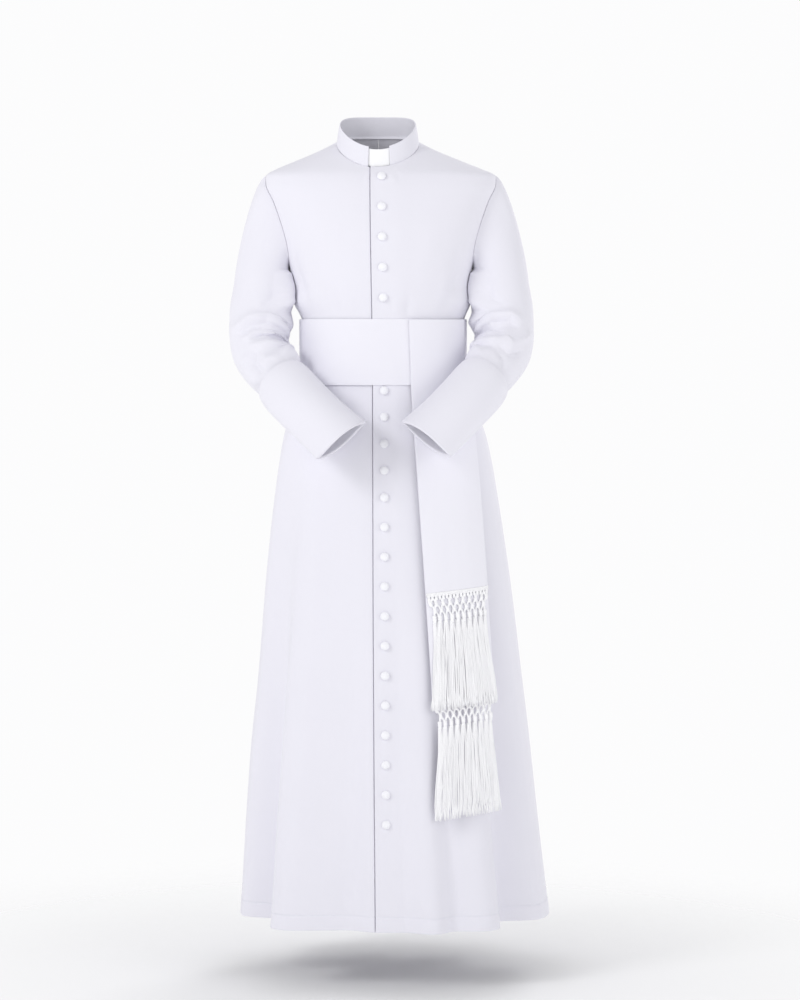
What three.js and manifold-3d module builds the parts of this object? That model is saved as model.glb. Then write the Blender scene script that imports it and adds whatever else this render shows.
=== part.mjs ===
import * as THREE from 'three';
import { mergeVertices } from 'three/addons/utils/BufferGeometryUtils.js';
import Module from 'manifold-3d';

// A white cassock in its worn form, with a wide sash, in millimetres.
// +Z is up, the front faces -Y and +X is the wearer's left. The origin is at the middle of
// the neck, level with the shoulder line where it meets the collar.
// Angles round the body are measured from the front centre, positive towards +X.

const CLOTH = 1.8; // wall of the cassock cloth
const SASH_CLOTH = 2; // wall of the ribbed sash cloth
const SEAM = 0.3; // gap between two pieces at a seam
const LAYER = 0.35; // gap between two layers that lie on each other
const NECK_SIDE = 4; // height of the neckline at the shoulder seam
const CHEST = -232; // height of the underarm points
const HEM = -1457;

const toRadians = THREE.MathUtils.degToRad;
const toDegrees = THREE.MathUtils.radToDeg;
const FRONT = 0;
const SIDE = Math.PI / 2;
const BACK = Math.PI;

// Level sections of the body: centre in X, half width, depth in front and behind, and the
// power of the rounded outline, where 2 is an ellipse and more is squarer.
const BODY_SECTIONS = [
  { z: 4, centre: -5, half: 87, front: 7, back: 66, power: 2 },
  { z: -5, centre: -5, half: 108, front: 29, back: 72, power: 2 },
  { z: -20, centre: -4, half: 144, front: 51, back: 79, power: 2 },
  { z: -31, centre: -4, half: 170, front: 64, back: 84, power: 2 },
  { z: -43, centre: -3, half: 199, front: 77, back: 88, power: 2 },
  { z: -55, centre: 0, half: 220, front: 87, back: 93, power: 2.05 },
  { z: -72, centre: 0, half: 220, front: 95, back: 99, power: 2.1 },
  { z: -105, centre: 0, half: 208, front: 106, back: 108, power: 2.2 },
  { z: -165, centre: 0, half: 190, front: 121, back: 118, power: 2.3 },
  { z: -232, centre: 0, half: 172, front: 128, back: 116, power: 2.4 },
  { z: -283, centre: 2, half: 160, front: 125, back: 111, power: 2.4 },
  { z: -326, centre: 4, half: 154, front: 120, back: 106, power: 2.4 },
  { z: -387, centre: 4, half: 154, front: 117, back: 102, power: 2.4 },
  { z: -449, centre: 5, half: 160, front: 120, back: 108, power: 2.35 },
  { z: -500, centre: 6, half: 177, front: 126, back: 121, power: 2.3 },
  { z: -555, centre: 8, half: 194, front: 138, back: 135, power: 2.25 },
  { z: -669, centre: 10, half: 213, front: 150, back: 155, power: 2.2 },
  { z: -859, centre: 14, half: 237, front: 170, back: 185, power: 2.1 },
  { z: -1239, centre: 20, half: 275, front: 205, back: 230, power: 2.1 },
  { z: -1457, centre: 26, half: 295, front: 222, back: 250, power: 2.1 },
];

// Folds that grow from the hips to the hem: where they lie, how far they reach to each side,
// how far they stand out (or, below zero, go in) at the hem, and where they start.
const SKIRT_FOLDS = [
  { angle: -67, spread: 15, depth: -60, start: -520 },
  { angle: -48, spread: 16, depth: 31, start: -540 },
  { angle: -23, spread: 14, depth: -15, start: -600 },
  { angle: 17, spread: 13, depth: 25, start: -640 },
  { angle: 40, spread: 14, depth: 20, start: -540 },
  { angle: 60, spread: 14, depth: -52, start: -520 },
  { angle: 110, spread: 15, depth: 16, start: -560 },
  { angle: 128, spread: 14, depth: -36, start: -520 },
  { angle: 147, spread: 15, depth: 26, start: -540 },
  { angle: 165, spread: 12, depth: -24, start: -500 },
  { angle: 180, spread: 13, depth: 22, start: -500 },
  { angle: -166, spread: 12, depth: -26, start: -500 },
  { angle: -149, spread: 15, depth: 24, start: -540 },
  { angle: -130, spread: 14, depth: -38, start: -520 },
  { angle: -112, spread: 15, depth: 18, start: -560 },
];

// X of the button line; the laps lie to each side of it.
const BUTTON_LINE = [
  { z: 4, x: 1.5 },
  { z: -43, x: 1.5 },
  { z: -400, x: 6 },
  { z: -900, x: 8 },
  { z: -1457, x: 12 },
];
const OVERLAP = 20.5; // over front, past the button line
const UNDERLAP = 20; // under front, past the button line
const LAP_REST = 2; // flat stretch of the over front past the under front's edge
const LAP_RAMP = 16; // width over which it comes down to the body line

// The armhole in the yoke, by the part of the way down from the neckline to the chest.
const ARMHOLE = [
  { down: 0.25, front: 90, back: 90 },
  { down: 0.36, front: 82, back: 97 },
  { down: 0.47, front: 77, back: 102 },
  { down: 0.58, front: 73.5, back: 105 },
  { down: 0.69, front: 71.5, back: 106.5 },
  { down: 0.79, front: 71.5, back: 106 },
  { down: 0.88, front: 74.5, back: 103 },
  { down: 0.95, front: 80.5, back: 98 },
  { down: 1, front: 90, back: 90 },
];
const SHOULDER_DOWN = 0.25; // the shoulder point
const SHOULDER_ROWS = [0, 0.085, 0.17];
const ARMHOLE_ROWS = [0.25, 0.35, 0.45, 0.55, 0.65, 0.75, 0.845, 0.93, 1];
const TORSO_LEVELS = [-275, -326, -387, -449, -474, -500, -527, -555];
const SKIRT_LEVELS = [-620, -715, -830, -960, -1120, -1290, -1457];
const COLUMN_STEP = 10; // widest step between two columns of a panel, in degrees

/** Value of a named column at a place, on a smooth curve through the table's rows. */
function readTable(rows, place, name, at) {
  const rising = rows[1][place] > rows[0][place];
  const last = rows.length - 1;
  let i = 0;
  while (i < last - 1 && (rising ? at > rows[i + 1][place] : at < rows[i + 1][place])) i += 1;
  const gap = (k) => rows[k + 1][place] - rows[k][place];
  const slope = (k) => (rows[k + 1][name] - rows[k][name]) / gap(k);
  const bend = (k) => {
    if (k === 0) return slope(0);
    if (k === last) return slope(last - 1);
    const before = slope(k - 1);
    const after = slope(k);
    return before * after <= 0 ? 0 : (2 * before * after) / (before + after);
  };
  const width = gap(i);
  const t = THREE.MathUtils.clamp((at - rows[i][place]) / width, 0, 1);
  const s = 1 - t;
  return (
    rows[i][name] * (1 + 2 * t) * s * s +
    bend(i) * width * t * s * s +
    rows[i + 1][name] * t * t * (3 - 2 * t) -
    bend(i + 1) * width * t * t * s
  );
}

/** Height of all skirt folds at an angle and level. */
function foldHeight(angle, z) {
  let height = 0;
  for (const fold of SKIRT_FOLDS) {
    const away = Math.abs(THREE.MathUtils.euclideanModulo(toDegrees(angle) - fold.angle + 180, 360) - 180);
    if (away >= fold.spread || z >= fold.start) continue;
    const grown = ((fold.start - z) / (fold.start - HEM)) ** 1.25;
    height += fold.depth * grown * 0.5 * (1 + Math.cos((Math.PI * away) / fold.spread));
  }
  return height;
}

/** Point of the body line at an angle and level. With folded = 0 the skirt is smooth. */
function bodyPoint(angle, z, folded = 1) {
  const across = Math.abs(Math.sin(angle));
  const along = Math.abs(Math.cos(angle));
  const half = readTable(BODY_SECTIONS, 'z', 'half', z);
  const depth = readTable(BODY_SECTIONS, 'z', Math.cos(angle) > 0 ? 'front' : 'back', z);
  const power = readTable(BODY_SECTIONS, 'z', 'power', z);
  const radius = ((across / half) ** power + (along / depth) ** power) ** (-1 / power);
  const reach = radius + folded * foldHeight(angle, z);
  const centre = readTable(BODY_SECTIONS, 'z', 'centre', z);
  return new THREE.Vector3(centre + reach * Math.sin(angle), -reach * Math.cos(angle), z);
}

const NECK = { x: -6, y: -2, half: 78, depth: 75, mid: -3.25, tilt: 32.5, dip: 7.25 };

/** Point of the neckline at an angle. */
function neckPoint(angle) {
  return new THREE.Vector3(
    NECK.x + NECK.half * Math.sin(angle),
    NECK.y - NECK.depth * Math.cos(angle),
    NECK.mid - NECK.tilt * Math.cos(angle) - NECK.dip * Math.cos(2 * angle),
  );
}

/** Level at which the body line starts below the neckline. */
function yokeTop(angle) {
  if (Math.cos(angle) > 0) return neckPoint(angle).z;
  return NECK_SIDE - 14 * Math.cos(angle) ** 2;
}

const YOKE_EASE = 0.55; // part of the yoke over which it eases from the neckline to the body

/** Point of the cassock's body. down runs 0 to 1 from neckline to chest and 1 to 2 to the hem. */
function clothPoint(angle, down) {
  if (down >= 1) return bodyPoint(angle, CHEST + (HEM - CHEST) * (down - 1));
  const top = yokeTop(angle);
  const point = bodyPoint(angle, top + (CHEST - top) * down);
  const ease = Math.max(0, 1 - down / YOKE_EASE) ** 2;
  const shift = neckPoint(angle).sub(bodyPoint(angle, top));
  return point.addScaledVector(shift, ease);
}

/** Unit normal of a surface that takes two values, towards the outside. */
function surfaceNormal(surface, a, b, stepA, stepB) {
  const alongA = surface(a + stepA, b).sub(surface(a - stepA, b));
  const alongB = surface(a, b + stepB).sub(surface(a, b - stepB));
  return alongB.cross(alongA).normalize();
}

/** Outward normal of the cassock's body, level across the seams at the sides and centre back. */
function clothNormal(angle, down) {
  const safeDown = Math.max(down, 0.004);
  const normal = surfaceNormal(clothPoint, angle, safeDown, 0.004, 0.003);
  if (Math.abs(Math.abs(angle) - SIDE) < 0.02) normal.y = 0;
  if (Math.abs(Math.abs(angle) - BACK) < 0.02) normal.x = 0;
  return normal.normalize();
}

/** Angle at which a row of the body passes through an X on the front. */
function angleAtX(x, down) {
  let angle = FRONT;
  for (let i = 0; i < 12; i += 1) {
    const here = clothPoint(angle, down).x;
    const slope = (clothPoint(angle + 0.001, down).x - here) / 0.001;
    angle += (x - here) / slope;
  }
  return angle;
}

/** The part of the way down for a level below the chest. */
function downAtLevel(z) {
  return 1 + (z - CHEST) / (HEM - CHEST);
}

const BODY_ROWS = [
  ...SHOULDER_ROWS,
  ...ARMHOLE_ROWS,
  ...TORSO_LEVELS.map(downAtLevel),
  ...SKIRT_LEVELS.map(downAtLevel),
];

/** Angle of a panel's side edge: shoulder seam, armhole, then side seam. */
function sideAngle(down, name) {
  if (down <= SHOULDER_DOWN || down >= 1) return SIDE;
  return toRadians(readTable(ARMHOLE, 'down', name, down));
}

/** Angles of a panel's columns at the hem, with one on the middle of each fold. */
function hemColumns(from, to) {
  const low = Math.min(from, to);
  const high = Math.max(from, to);
  const stops = [low, high];
  for (const fold of SKIRT_FOLDS) {
    if (fold.angle > low + 3 && fold.angle < high - 3) stops.push(fold.angle);
  }
  stops.sort((a, b) => a - b);
  const angles = [low];
  for (let i = 1; i < stops.length; i += 1) {
    const parts = Math.ceil((stops[i] - stops[i - 1]) / COLUMN_STEP);
    for (let k = 1; k <= parts; k += 1) {
      angles.push(stops[i - 1] + ((stops[i] - stops[i - 1]) * k) / parts);
    }
  }
  return from < to ? angles : angles.reverse();
}

/** Closed wall between an outer and an inner grid of points. */
function wallGeometry(outer, inner, wraps = false) {
  const rows = outer.length;
  const columns = outer[0].length;
  const positions = [];
  for (const grid of [outer, inner]) {
    for (const row of grid) {
      for (const point of row) positions.push(point.x, point.y, point.z);
    }
  }
  const at = (layer, row, column) => (layer * rows + row) * columns + (column % columns);
  const faces = [];
  const addQuad = (a, b, c, d) => faces.push(a, b, c, a, c, d);
  const spans = wraps ? columns : columns - 1;
  for (let r = 0; r < rows - 1; r += 1) {
    for (let c = 0; c < spans; c += 1) {
      addQuad(at(0, r, c), at(0, r, c + 1), at(0, r + 1, c + 1), at(0, r + 1, c));
      addQuad(at(1, r, c), at(1, r + 1, c), at(1, r + 1, c + 1), at(1, r, c + 1));
    }
    if (!wraps) {
      const end = columns - 1;
      addQuad(at(0, r, 0), at(0, r + 1, 0), at(1, r + 1, 0), at(1, r, 0));
      addQuad(at(0, r, end), at(1, r, end), at(1, r + 1, end), at(0, r + 1, end));
    }
  }
  for (let c = 0; c < spans; c += 1) {
    const foot = rows - 1;
    addQuad(at(0, 0, c), at(1, 0, c), at(1, 0, c + 1), at(0, 0, c + 1));
    addQuad(at(0, foot, c), at(0, foot, c + 1), at(1, foot, c + 1), at(1, foot, c));
  }
  return closedGeometry(positions, faces);
}

/** Indexed geometry whose faces point out. */
function closedGeometry(positions, faces) {
  let volume = 0;
  const corner = (i) => new THREE.Vector3().fromArray(positions, 3 * faces[i]);
  for (let i = 0; i < faces.length; i += 3) {
    volume += corner(i).dot(corner(i + 1).cross(corner(i + 2)));
  }
  const turned = volume < 0 ? faces.slice().reverse() : faces;
  const geometry = new THREE.BufferGeometry();
  geometry.setAttribute('position', new THREE.Float32BufferAttribute(positions, 3));
  geometry.setIndex(turned);
  return geometry;
}

/** Grid moved along its normals. */
function movedGrid(grid, normals, distance) {
  return grid.map((row, r) => row.map((point, c) => point.clone().addScaledVector(normals[r][c], distance)));
}

/** Normals of a grid of points that wraps round a tube, away from the tube's middle. */
function tubeNormals(grid) {
  const columns = grid[0].length;
  return grid.map((row, r) => {
    const before = grid[Math.max(r - 1, 0)];
    const after = grid[Math.min(r + 1, grid.length - 1)];
    const middle = row.reduce((sum, point) => sum.add(point), new THREE.Vector3()).divideScalar(columns);
    return row.map((point, c) => {
      const round = row[(c + 1) % columns].clone().sub(row[(c + columns - 1) % columns]);
      const normal = after[c].clone().sub(before[c]).cross(round).normalize();
      return normal.dot(point.clone().sub(middle)) < 0 ? normal.negate() : normal;
    });
  });
}

/** How far the over front stands off the body line at an X. */
function lapRise(x, z) {
  const start = readTable(BUTTON_LINE, 'z', 'x', z) + UNDERLAP + LAP_REST;
  return (CLOTH + SEAM) * (1 - THREE.MathUtils.smoothstep(x, start, start + LAP_RAMP));
}

/** Columns of angles for one row of a front panel, side = 1 for the wearer's left. */
function frontAngles(side, down, shares) {
  const z = clothPoint(FRONT, down).z;
  const line = readTable(BUTTON_LINE, 'z', 'x', z);
  const laps = [-OVERLAP, 0, UNDERLAP];
  if (side > 0) laps.push(UNDERLAP + LAP_REST, UNDERLAP + LAP_REST + LAP_RAMP);
  else laps.reverse();
  const near = laps.map((offset) => angleAtX(line + offset, down));
  const start = near[near.length - 1];
  const end = side * sideAngle(down, 'front');
  return [...near, ...shares.map((share) => start + (end - start) * share)];
}

/** Outer grid and normals of a front panel. */
function frontPanel(side) {
  const startAtHem = toDegrees(frontAngles(side, 2, []).pop());
  const hem = hemColumns(startAtHem, side * 90);
  const shares = hem.slice(1).map((angle) => (angle - startAtHem) / (side * 90 - startAtHem));
  const grid = [];
  const normals = [];
  for (const down of BODY_ROWS) {
    const angles = frontAngles(side, down, shares);
    normals.push(angles.map((angle) => clothNormal(angle, down)));
    grid.push(angles.map((angle, c) => {
      const point = clothPoint(angle, down);
      if (side > 0) point.addScaledVector(normals.at(-1)[c], lapRise(point.x, point.z));
      if (c === angles.length - 1) point.y -= SEAM / 2;
      return point;
    }));
  }
  return { grid, normals };
}

/** Outer grid and normals of a back panel. */
function backPanel(side) {
  const hem = hemColumns(90, 180);
  const mirrored = hemColumns(-90, -180);
  const shares = (side > 0 ? hem : mirrored).map((angle) => (Math.abs(angle) - 90) / 90);
  const grid = [];
  const normals = [];
  for (const down of BODY_ROWS) {
    const start = sideAngle(down, 'back');
    const angles = shares.map((share) => side * (start + (BACK - start) * share));
    normals.push(angles.map((angle) => clothNormal(angle, down)));
    grid.push(angles.map((angle, c) => {
      const point = clothPoint(angle, down);
      if (c === 0) point.y += SEAM / 2;
      if (c === angles.length - 1) point.x += (side * SEAM) / 2;
      return point;
    }));
  }
  return { grid, normals };
}

/** Wall of a body panel, from its outer grid and normals. */
function panelGeometry({ grid, normals }) {
  return wallGeometry(grid, movedGrid(grid, normals, -CLOTH));
}

// Middle line of each sleeve below the armhole, from the upper arm to the mouth.
const SLEEVE_PATHS = {
  right: [
    { x: -225, y: -5, z: -262 },
    { x: -229, y: -22, z: -320 },
    { x: -224, y: -50, z: -385 },
    { x: -190, y: -108, z: -443 },
    { x: -133, y: -165, z: -503 },
    { x: -76, y: -206, z: -553 },
  ],
  left: [
    { x: 227, y: -5, z: -262 },
    { x: 231, y: -24, z: -320 },
    { x: 228, y: -54, z: -382 },
    { x: 198, y: -114, z: -436 },
    { x: 142, y: -171, z: -497 },
    { x: 85, y: -212, z: -547 },
  ],
};
const SLEEVE_SECTIONS = [
  { part: 0, across: 53, deep: 61 },
  { part: 0.15, across: 57, deep: 59 },
  { part: 0.33, across: 57, deep: 57 },
  { part: 0.55, across: 53, deep: 54 },
  { part: 0.8, across: 55, deep: 53 },
  { part: 1, across: 57, deep: 52 },
];
// Creases inside the elbow: how far along, the place round the sleeve, how they run, and depth.
const ELBOW_CREASES = [
  { part: 0.2, angle: 140, spread: 75, slant: 9, width: 15, depth: -6 },
  { part: 0.28, angle: 135, spread: 85, slant: 3, width: 14, depth: -8 },
  { part: 0.36, angle: 130, spread: 85, slant: -4, width: 14, depth: -8 },
  { part: 0.44, angle: 125, spread: 75, slant: -9, width: 15, depth: -6 },
];
const SLEEVE_PARTS = [
  0, 0.07, 0.13, 0.17, 0.205, 0.24, 0.28, 0.32, 0.36, 0.4, 0.44, 0.48, 0.53, 0.6, 0.68, 0.76, 0.84, 0.92, 1,
];
const HEAD_PARTS = [0, 0.12, 0.28, 0.46, 0.64, 0.82];
const CUFF_PART = 0.53; // where the turned-back cuff ends
const FRAME_STEPS = 200;
// Pull of the sleeve head's curves at the armhole and at the upper arm, at top and underarm.
const HEAD_PULL = { topOut: 70, topDown: 30, underOut: 8, topArm: 200, underArm: 26 };

/** The armhole's edge as a loop: shoulder, front, underarm, back. */
function armholeLoop(side) {
  const half = ARMHOLE_ROWS.length - 1;
  const loop = [];
  for (let i = 0; i < 2 * half; i += 1) {
    const down = i <= half ? ARMHOLE_ROWS[i] : ARMHOLE_ROWS[2 * half - i];
    loop.push(clothPoint(side * sideAngle(down, i <= half ? 'front' : 'back'), down));
  }
  return loop;
}

/** Middle points and directions along a sleeve. */
function sleeveFrames(side, path) {
  const stops = path.map((p) => new THREE.Vector3(p.x, p.y, p.z));
  const curve = new THREE.CatmullRomCurve3(stops, false, 'centripetal');
  curve.arcLengthDivisions = 400;
  const outward = new THREE.Vector3(side, 0, 0);
  const frames = [];
  for (let i = 0; i <= FRAME_STEPS; i += 1) {
    const along = curve.getTangentAt(i / FRAME_STEPS);
    outward.addScaledVector(along, -outward.dot(along)).normalize();
    const forward = outward.clone().cross(along).multiplyScalar(-side);
    frames.push({ middle: curve.getPointAt(i / FRAME_STEPS), along, outward: outward.clone(), forward });
  }
  return { frames, length: curve.getLength() };
}

/** How far the elbow creases move the sleeve's wall. */
function creaseDepth(part, turn, length) {
  let depth = 0;
  for (const crease of ELBOW_CREASES) {
    const away = (toDegrees(turn) - crease.angle) / crease.spread;
    if (Math.abs(away) >= 1) continue;
    const offset = (part - crease.part) * length - crease.slant * away * 2;
    const cup = Math.cos((away * Math.PI) / 2) ** 2;
    depth += crease.depth * cup * Math.exp(-((offset / crease.width) ** 2) * 2);
  }
  return depth;
}

/** Outer grid of a sleeve, from the armhole to the mouth, sixteen points round. */
function sleeveGrid(side, path) {
  const { frames, length } = sleeveFrames(side, path);
  const loop = armholeLoop(side);
  const count = loop.length;
  const ring = (part) => {
    const frame = frames[Math.round(part * FRAME_STEPS)];
    return loop.map((unused, i) => {
      const turn = (2 * Math.PI * i) / count;
      const dent = creaseDepth(part, turn, length);
      const across = readTable(SLEEVE_SECTIONS, 'part', 'across', part) + dent;
      const deep = readTable(SLEEVE_SECTIONS, 'part', 'deep', part) + dent;
      return frame.middle
        .clone()
        .addScaledVector(frame.outward, across * Math.cos(turn))
        .addScaledVector(frame.forward, deep * Math.sin(turn));
    });
  };
  const upper = ring(0);
  const head = HEAD_PARTS.map((t) => loop.map((edge, i) => {
    const top = 0.5 * (1 + Math.cos((2 * Math.PI * i) / count));
    const start = edge.clone();
    start.x += side * SEAM;
    const out = side * THREE.MathUtils.lerp(HEAD_PULL.underOut, HEAD_PULL.topOut, top);
    const leave = new THREE.Vector3(out, 0, -HEAD_PULL.topDown * top);
    const pull = THREE.MathUtils.lerp(HEAD_PULL.underArm, HEAD_PULL.topArm, top);
    const arrive = frames[0].along.clone().multiplyScalar(pull);
    const s = 1 - t;
    return start
      .multiplyScalar((1 + 2 * t) * s * s)
      .addScaledVector(leave, t * s * s)
      .addScaledVector(upper[i], t * t * (3 - 2 * t))
      .addScaledVector(arrive, -t * t * s);
  }));
  return [...head, ...SLEEVE_PARTS.map(ring)];
}

/** Sleeve and cuff walls of one side. */
function sleevePieces(side, path) {
  const grid = sleeveGrid(side, path);
  const normals = tubeNormals(grid);
  const middle = grid[0].reduce((sum, p) => sum.add(p), new THREE.Vector3()).divideScalar(grid[0].length);
  normals[0] = grid[0].map((point) => {
    const away = point.clone().sub(middle);
    away.x = 0;
    return away.normalize();
  });
  const sleeve = wallGeometry(grid, movedGrid(grid, normals, -CLOTH), true);
  const start = HEAD_PARTS.length + SLEEVE_PARTS.indexOf(CUFF_PART);
  const cuffGrid = grid.slice(start);
  const cuffNormals = normals.slice(start);
  const cuff = wallGeometry(
    movedGrid(cuffGrid, cuffNormals, LAYER + CLOTH),
    movedGrid(cuffGrid, cuffNormals, LAYER),
    true,
  );
  return { sleeve, cuff };
}

const COLLAR = { height: 38, columns: 30, rows: 2, lean: 6, openFrom: -24, openTo: 18, lift: 1 };
const TAB = { from: -28, to: 22, foot: 3, height: 34, columns: 8 };

/** Point of the stand collar's outer face at an angle and height over the neckline. */
function collarPoint(angle, height) {
  const point = neckPoint(angle);
  const lean = (COLLAR.lean * height) / COLLAR.height;
  point.x -= lean * Math.sin(angle);
  point.y += lean * Math.cos(angle);
  point.z += height;
  return point;
}

/** Angle of the neckline at an X in front. */
function neckAngle(x) {
  return Math.asin((x - NECK.x) / NECK.half);
}

/** Wall that stands on the neckline between two angles. */
function collarWall(from, to, foot, height, columns, inset, wall) {
  const outer = [];
  const inner = [];
  for (let r = 0; r <= COLLAR.rows; r += 1) {
    const level = foot + (height * r) / COLLAR.rows;
    const angles = Array.from({ length: columns + 1 }, (unused, c) => from + ((to - from) * c) / columns);
    const inward = (angle, distance) => collarPoint(angle, level).add(
      new THREE.Vector3(-Math.sin(angle) * distance, Math.cos(angle) * distance, 0),
    );
    outer.push(angles.map((angle) => inward(angle, inset)));
    inner.push(angles.map((angle) => inward(angle, inset + wall)));
  }
  return wallGeometry(outer, inner);
}

const SASH = { top: -326, foot: -449, rows: 3, columns: 52, inset: 2.8 };
const TAIL_GAP = 0.95; // between the band and the tail that lies on it
const TAIL_BACK_INSET = SASH.inset + SASH_CLOTH + TAIL_GAP;
const TAIL_FRONT_INSET = TAIL_BACK_INSET + SASH_CLOTH + LAYER;
const TAIL_WIDTH = 127;
const TAIL_COLUMNS = 7;
const CREST_CLEARANCE = 2.5; // room between the skirt's folds and what hangs on them
// X of the tails' edge nearest the middle, by level.
const TAIL_EDGE = [
  { z: -326, x: 50 },
  { z: -449, x: 55 },
  { z: -600, x: 68 },
  { z: -833, x: 87 },
  { z: -1030, x: 95 },
  { z: -1240, x: 101 },
];
const TAIL_FRONT = { top: -327, foot: -833, rise: 11, swing: 2 };
const TAIL_BACK = { top: -332, foot: -1027, rise: 14, swing: 0 };
const TAIL_LEVELS = [-355, -387, -420, -449, -475, -505, -555, -620, -700, -780, -860, -940];

/** Point over the smooth body line, moved straight out from it. */
function overBody(angle, z, out) {
  const point = bodyPoint(angle, z, 0);
  point.x += out * Math.sin(angle);
  point.y -= out * Math.cos(angle);
  return point;
}

/** Highest fold at a level under the tails. */
function foldCrest(z) {
  let crest = 0;
  for (let angle = 10; angle <= 66; angle += 2) crest = Math.max(crest, foldHeight(toRadians(angle), z));
  return crest;
}

/** How far a tail stands off the smooth body line at a level. */
function tailOut(inset, z) {
  const below = THREE.MathUtils.smoothstep(-z, -SASH.foot, -SASH.foot + 60);
  return inset + below * CREST_CLEARANCE + foldCrest(z);
}

/** Point on a tail: across from its inner edge, at a level, out from its own face. */
function tailPoint(across, z, out, inset) {
  const edge = readTable(TAIL_EDGE, 'z', 'x', z);
  const reach = tailOut(inset, z) + out;
  let angle = angleAtX(edge, downAtLevel(z));
  let last = overBody(angle, z, reach);
  const steps = 24;
  const stride = Math.abs(across) / steps;
  for (let i = 0; i < steps; i += 1) {
    const size = 0.001;
    const speed = overBody(angle + size, z, reach).distanceTo(last) / size;
    angle += (Math.sign(across) * stride) / speed;
    last = overBody(angle, z, reach);
  }
  return last;
}

/** Wall of a hanging tail. */
function tailGeometry({ top, foot, rise }, inset) {
  const levels = [top, ...TAIL_LEVELS.filter((z) => z < top - 8 && z > foot + 20), foot];
  const outer = [];
  const inner = [];
  for (const level of levels) {
    const raised = THREE.MathUtils.smoothstep(-level, -foot - 160, -foot) * rise;
    const shares = Array.from({ length: TAIL_COLUMNS + 1 }, (unused, c) => c / TAIL_COLUMNS);
    const point = (share, out) => tailPoint(share * TAIL_WIDTH, level + raised * share, out, inset);
    const row = (out) => shares.map((share) => point(share, out));
    inner.push(row(0));
    outer.push(row(SASH_CLOTH));
  }
  return wallGeometry(outer, inner);
}

/** Wall of the band round the waist. */
function bandGeometry() {
  const outer = [];
  const inner = [];
  for (let r = 0; r <= SASH.rows; r += 1) {
    const z = SASH.top + ((SASH.foot - SASH.top) * r) / SASH.rows;
    const angles = Array.from({ length: SASH.columns }, (unused, c) => (2 * Math.PI * c) / SASH.columns);
    inner.push(angles.map((angle) => overBody(angle, z, SASH.inset)));
    outer.push(angles.map((angle) => overBody(angle, z, SASH.inset + SASH_CLOTH)));
  }
  return wallGeometry(outer, inner, true);
}

const FRINGE = {
  groups: 9,
  heading: 5,
  knotRows: [19, 40],
  knotSize: 3.1,
  cord: 1.5,
  length: 217,
  strand: 1.4,
  strandsPerGroup: 3,
  pinch: 0.86,
  flare: 1.03,
};

const wasm = await Module();
wasm.setup();

/** Solid for joining from a closed geometry. */
function toSolid(geometry) {
  geometry.deleteAttribute('normal');
  geometry.deleteAttribute('uv');
  const merged = mergeVertices(geometry, 1e-4);
  return new wasm.Manifold(new wasm.Mesh({
    numProp: 3,
    vertProperties: new Float32Array(merged.attributes.position.array),
    triVerts: new Uint32Array(merged.index.array),
  }));
}

/** Closed prism along a line of points in the fringe's flat layout: across, out, down. */
function cordPrism(points, radius, sides, tip = 1) {
  const rings = points.map((point, i) => {
    const size = radius * (i === points.length - 1 ? tip : 1);
    return Array.from({ length: sides }, (unused, k) => {
      const turn = (2 * Math.PI * (k + 0.25)) / sides;
      return new THREE.Vector3(point.x + size * Math.cos(turn), point.y + size * Math.sin(turn), point.z);
    });
  });
  const positions = rings.flat().flatMap((p) => [p.x, p.y, p.z]);
  const faces = [];
  for (let r = 0; r < rings.length - 1; r += 1) {
    for (let k = 0; k < sides; k += 1) {
      const next = (k + 1) % sides;
      const a = r * sides + k;
      const b = r * sides + next;
      faces.push(a, b, b + sides, a, b + sides, a + sides);
    }
  }
  const foot = (rings.length - 1) * sides;
  for (let k = 1; k < sides - 1; k += 1) {
    faces.push(0, k + 1, k, foot, foot + k, foot + k + 1);
  }
  return closedGeometry(positions, faces);
}

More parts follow.
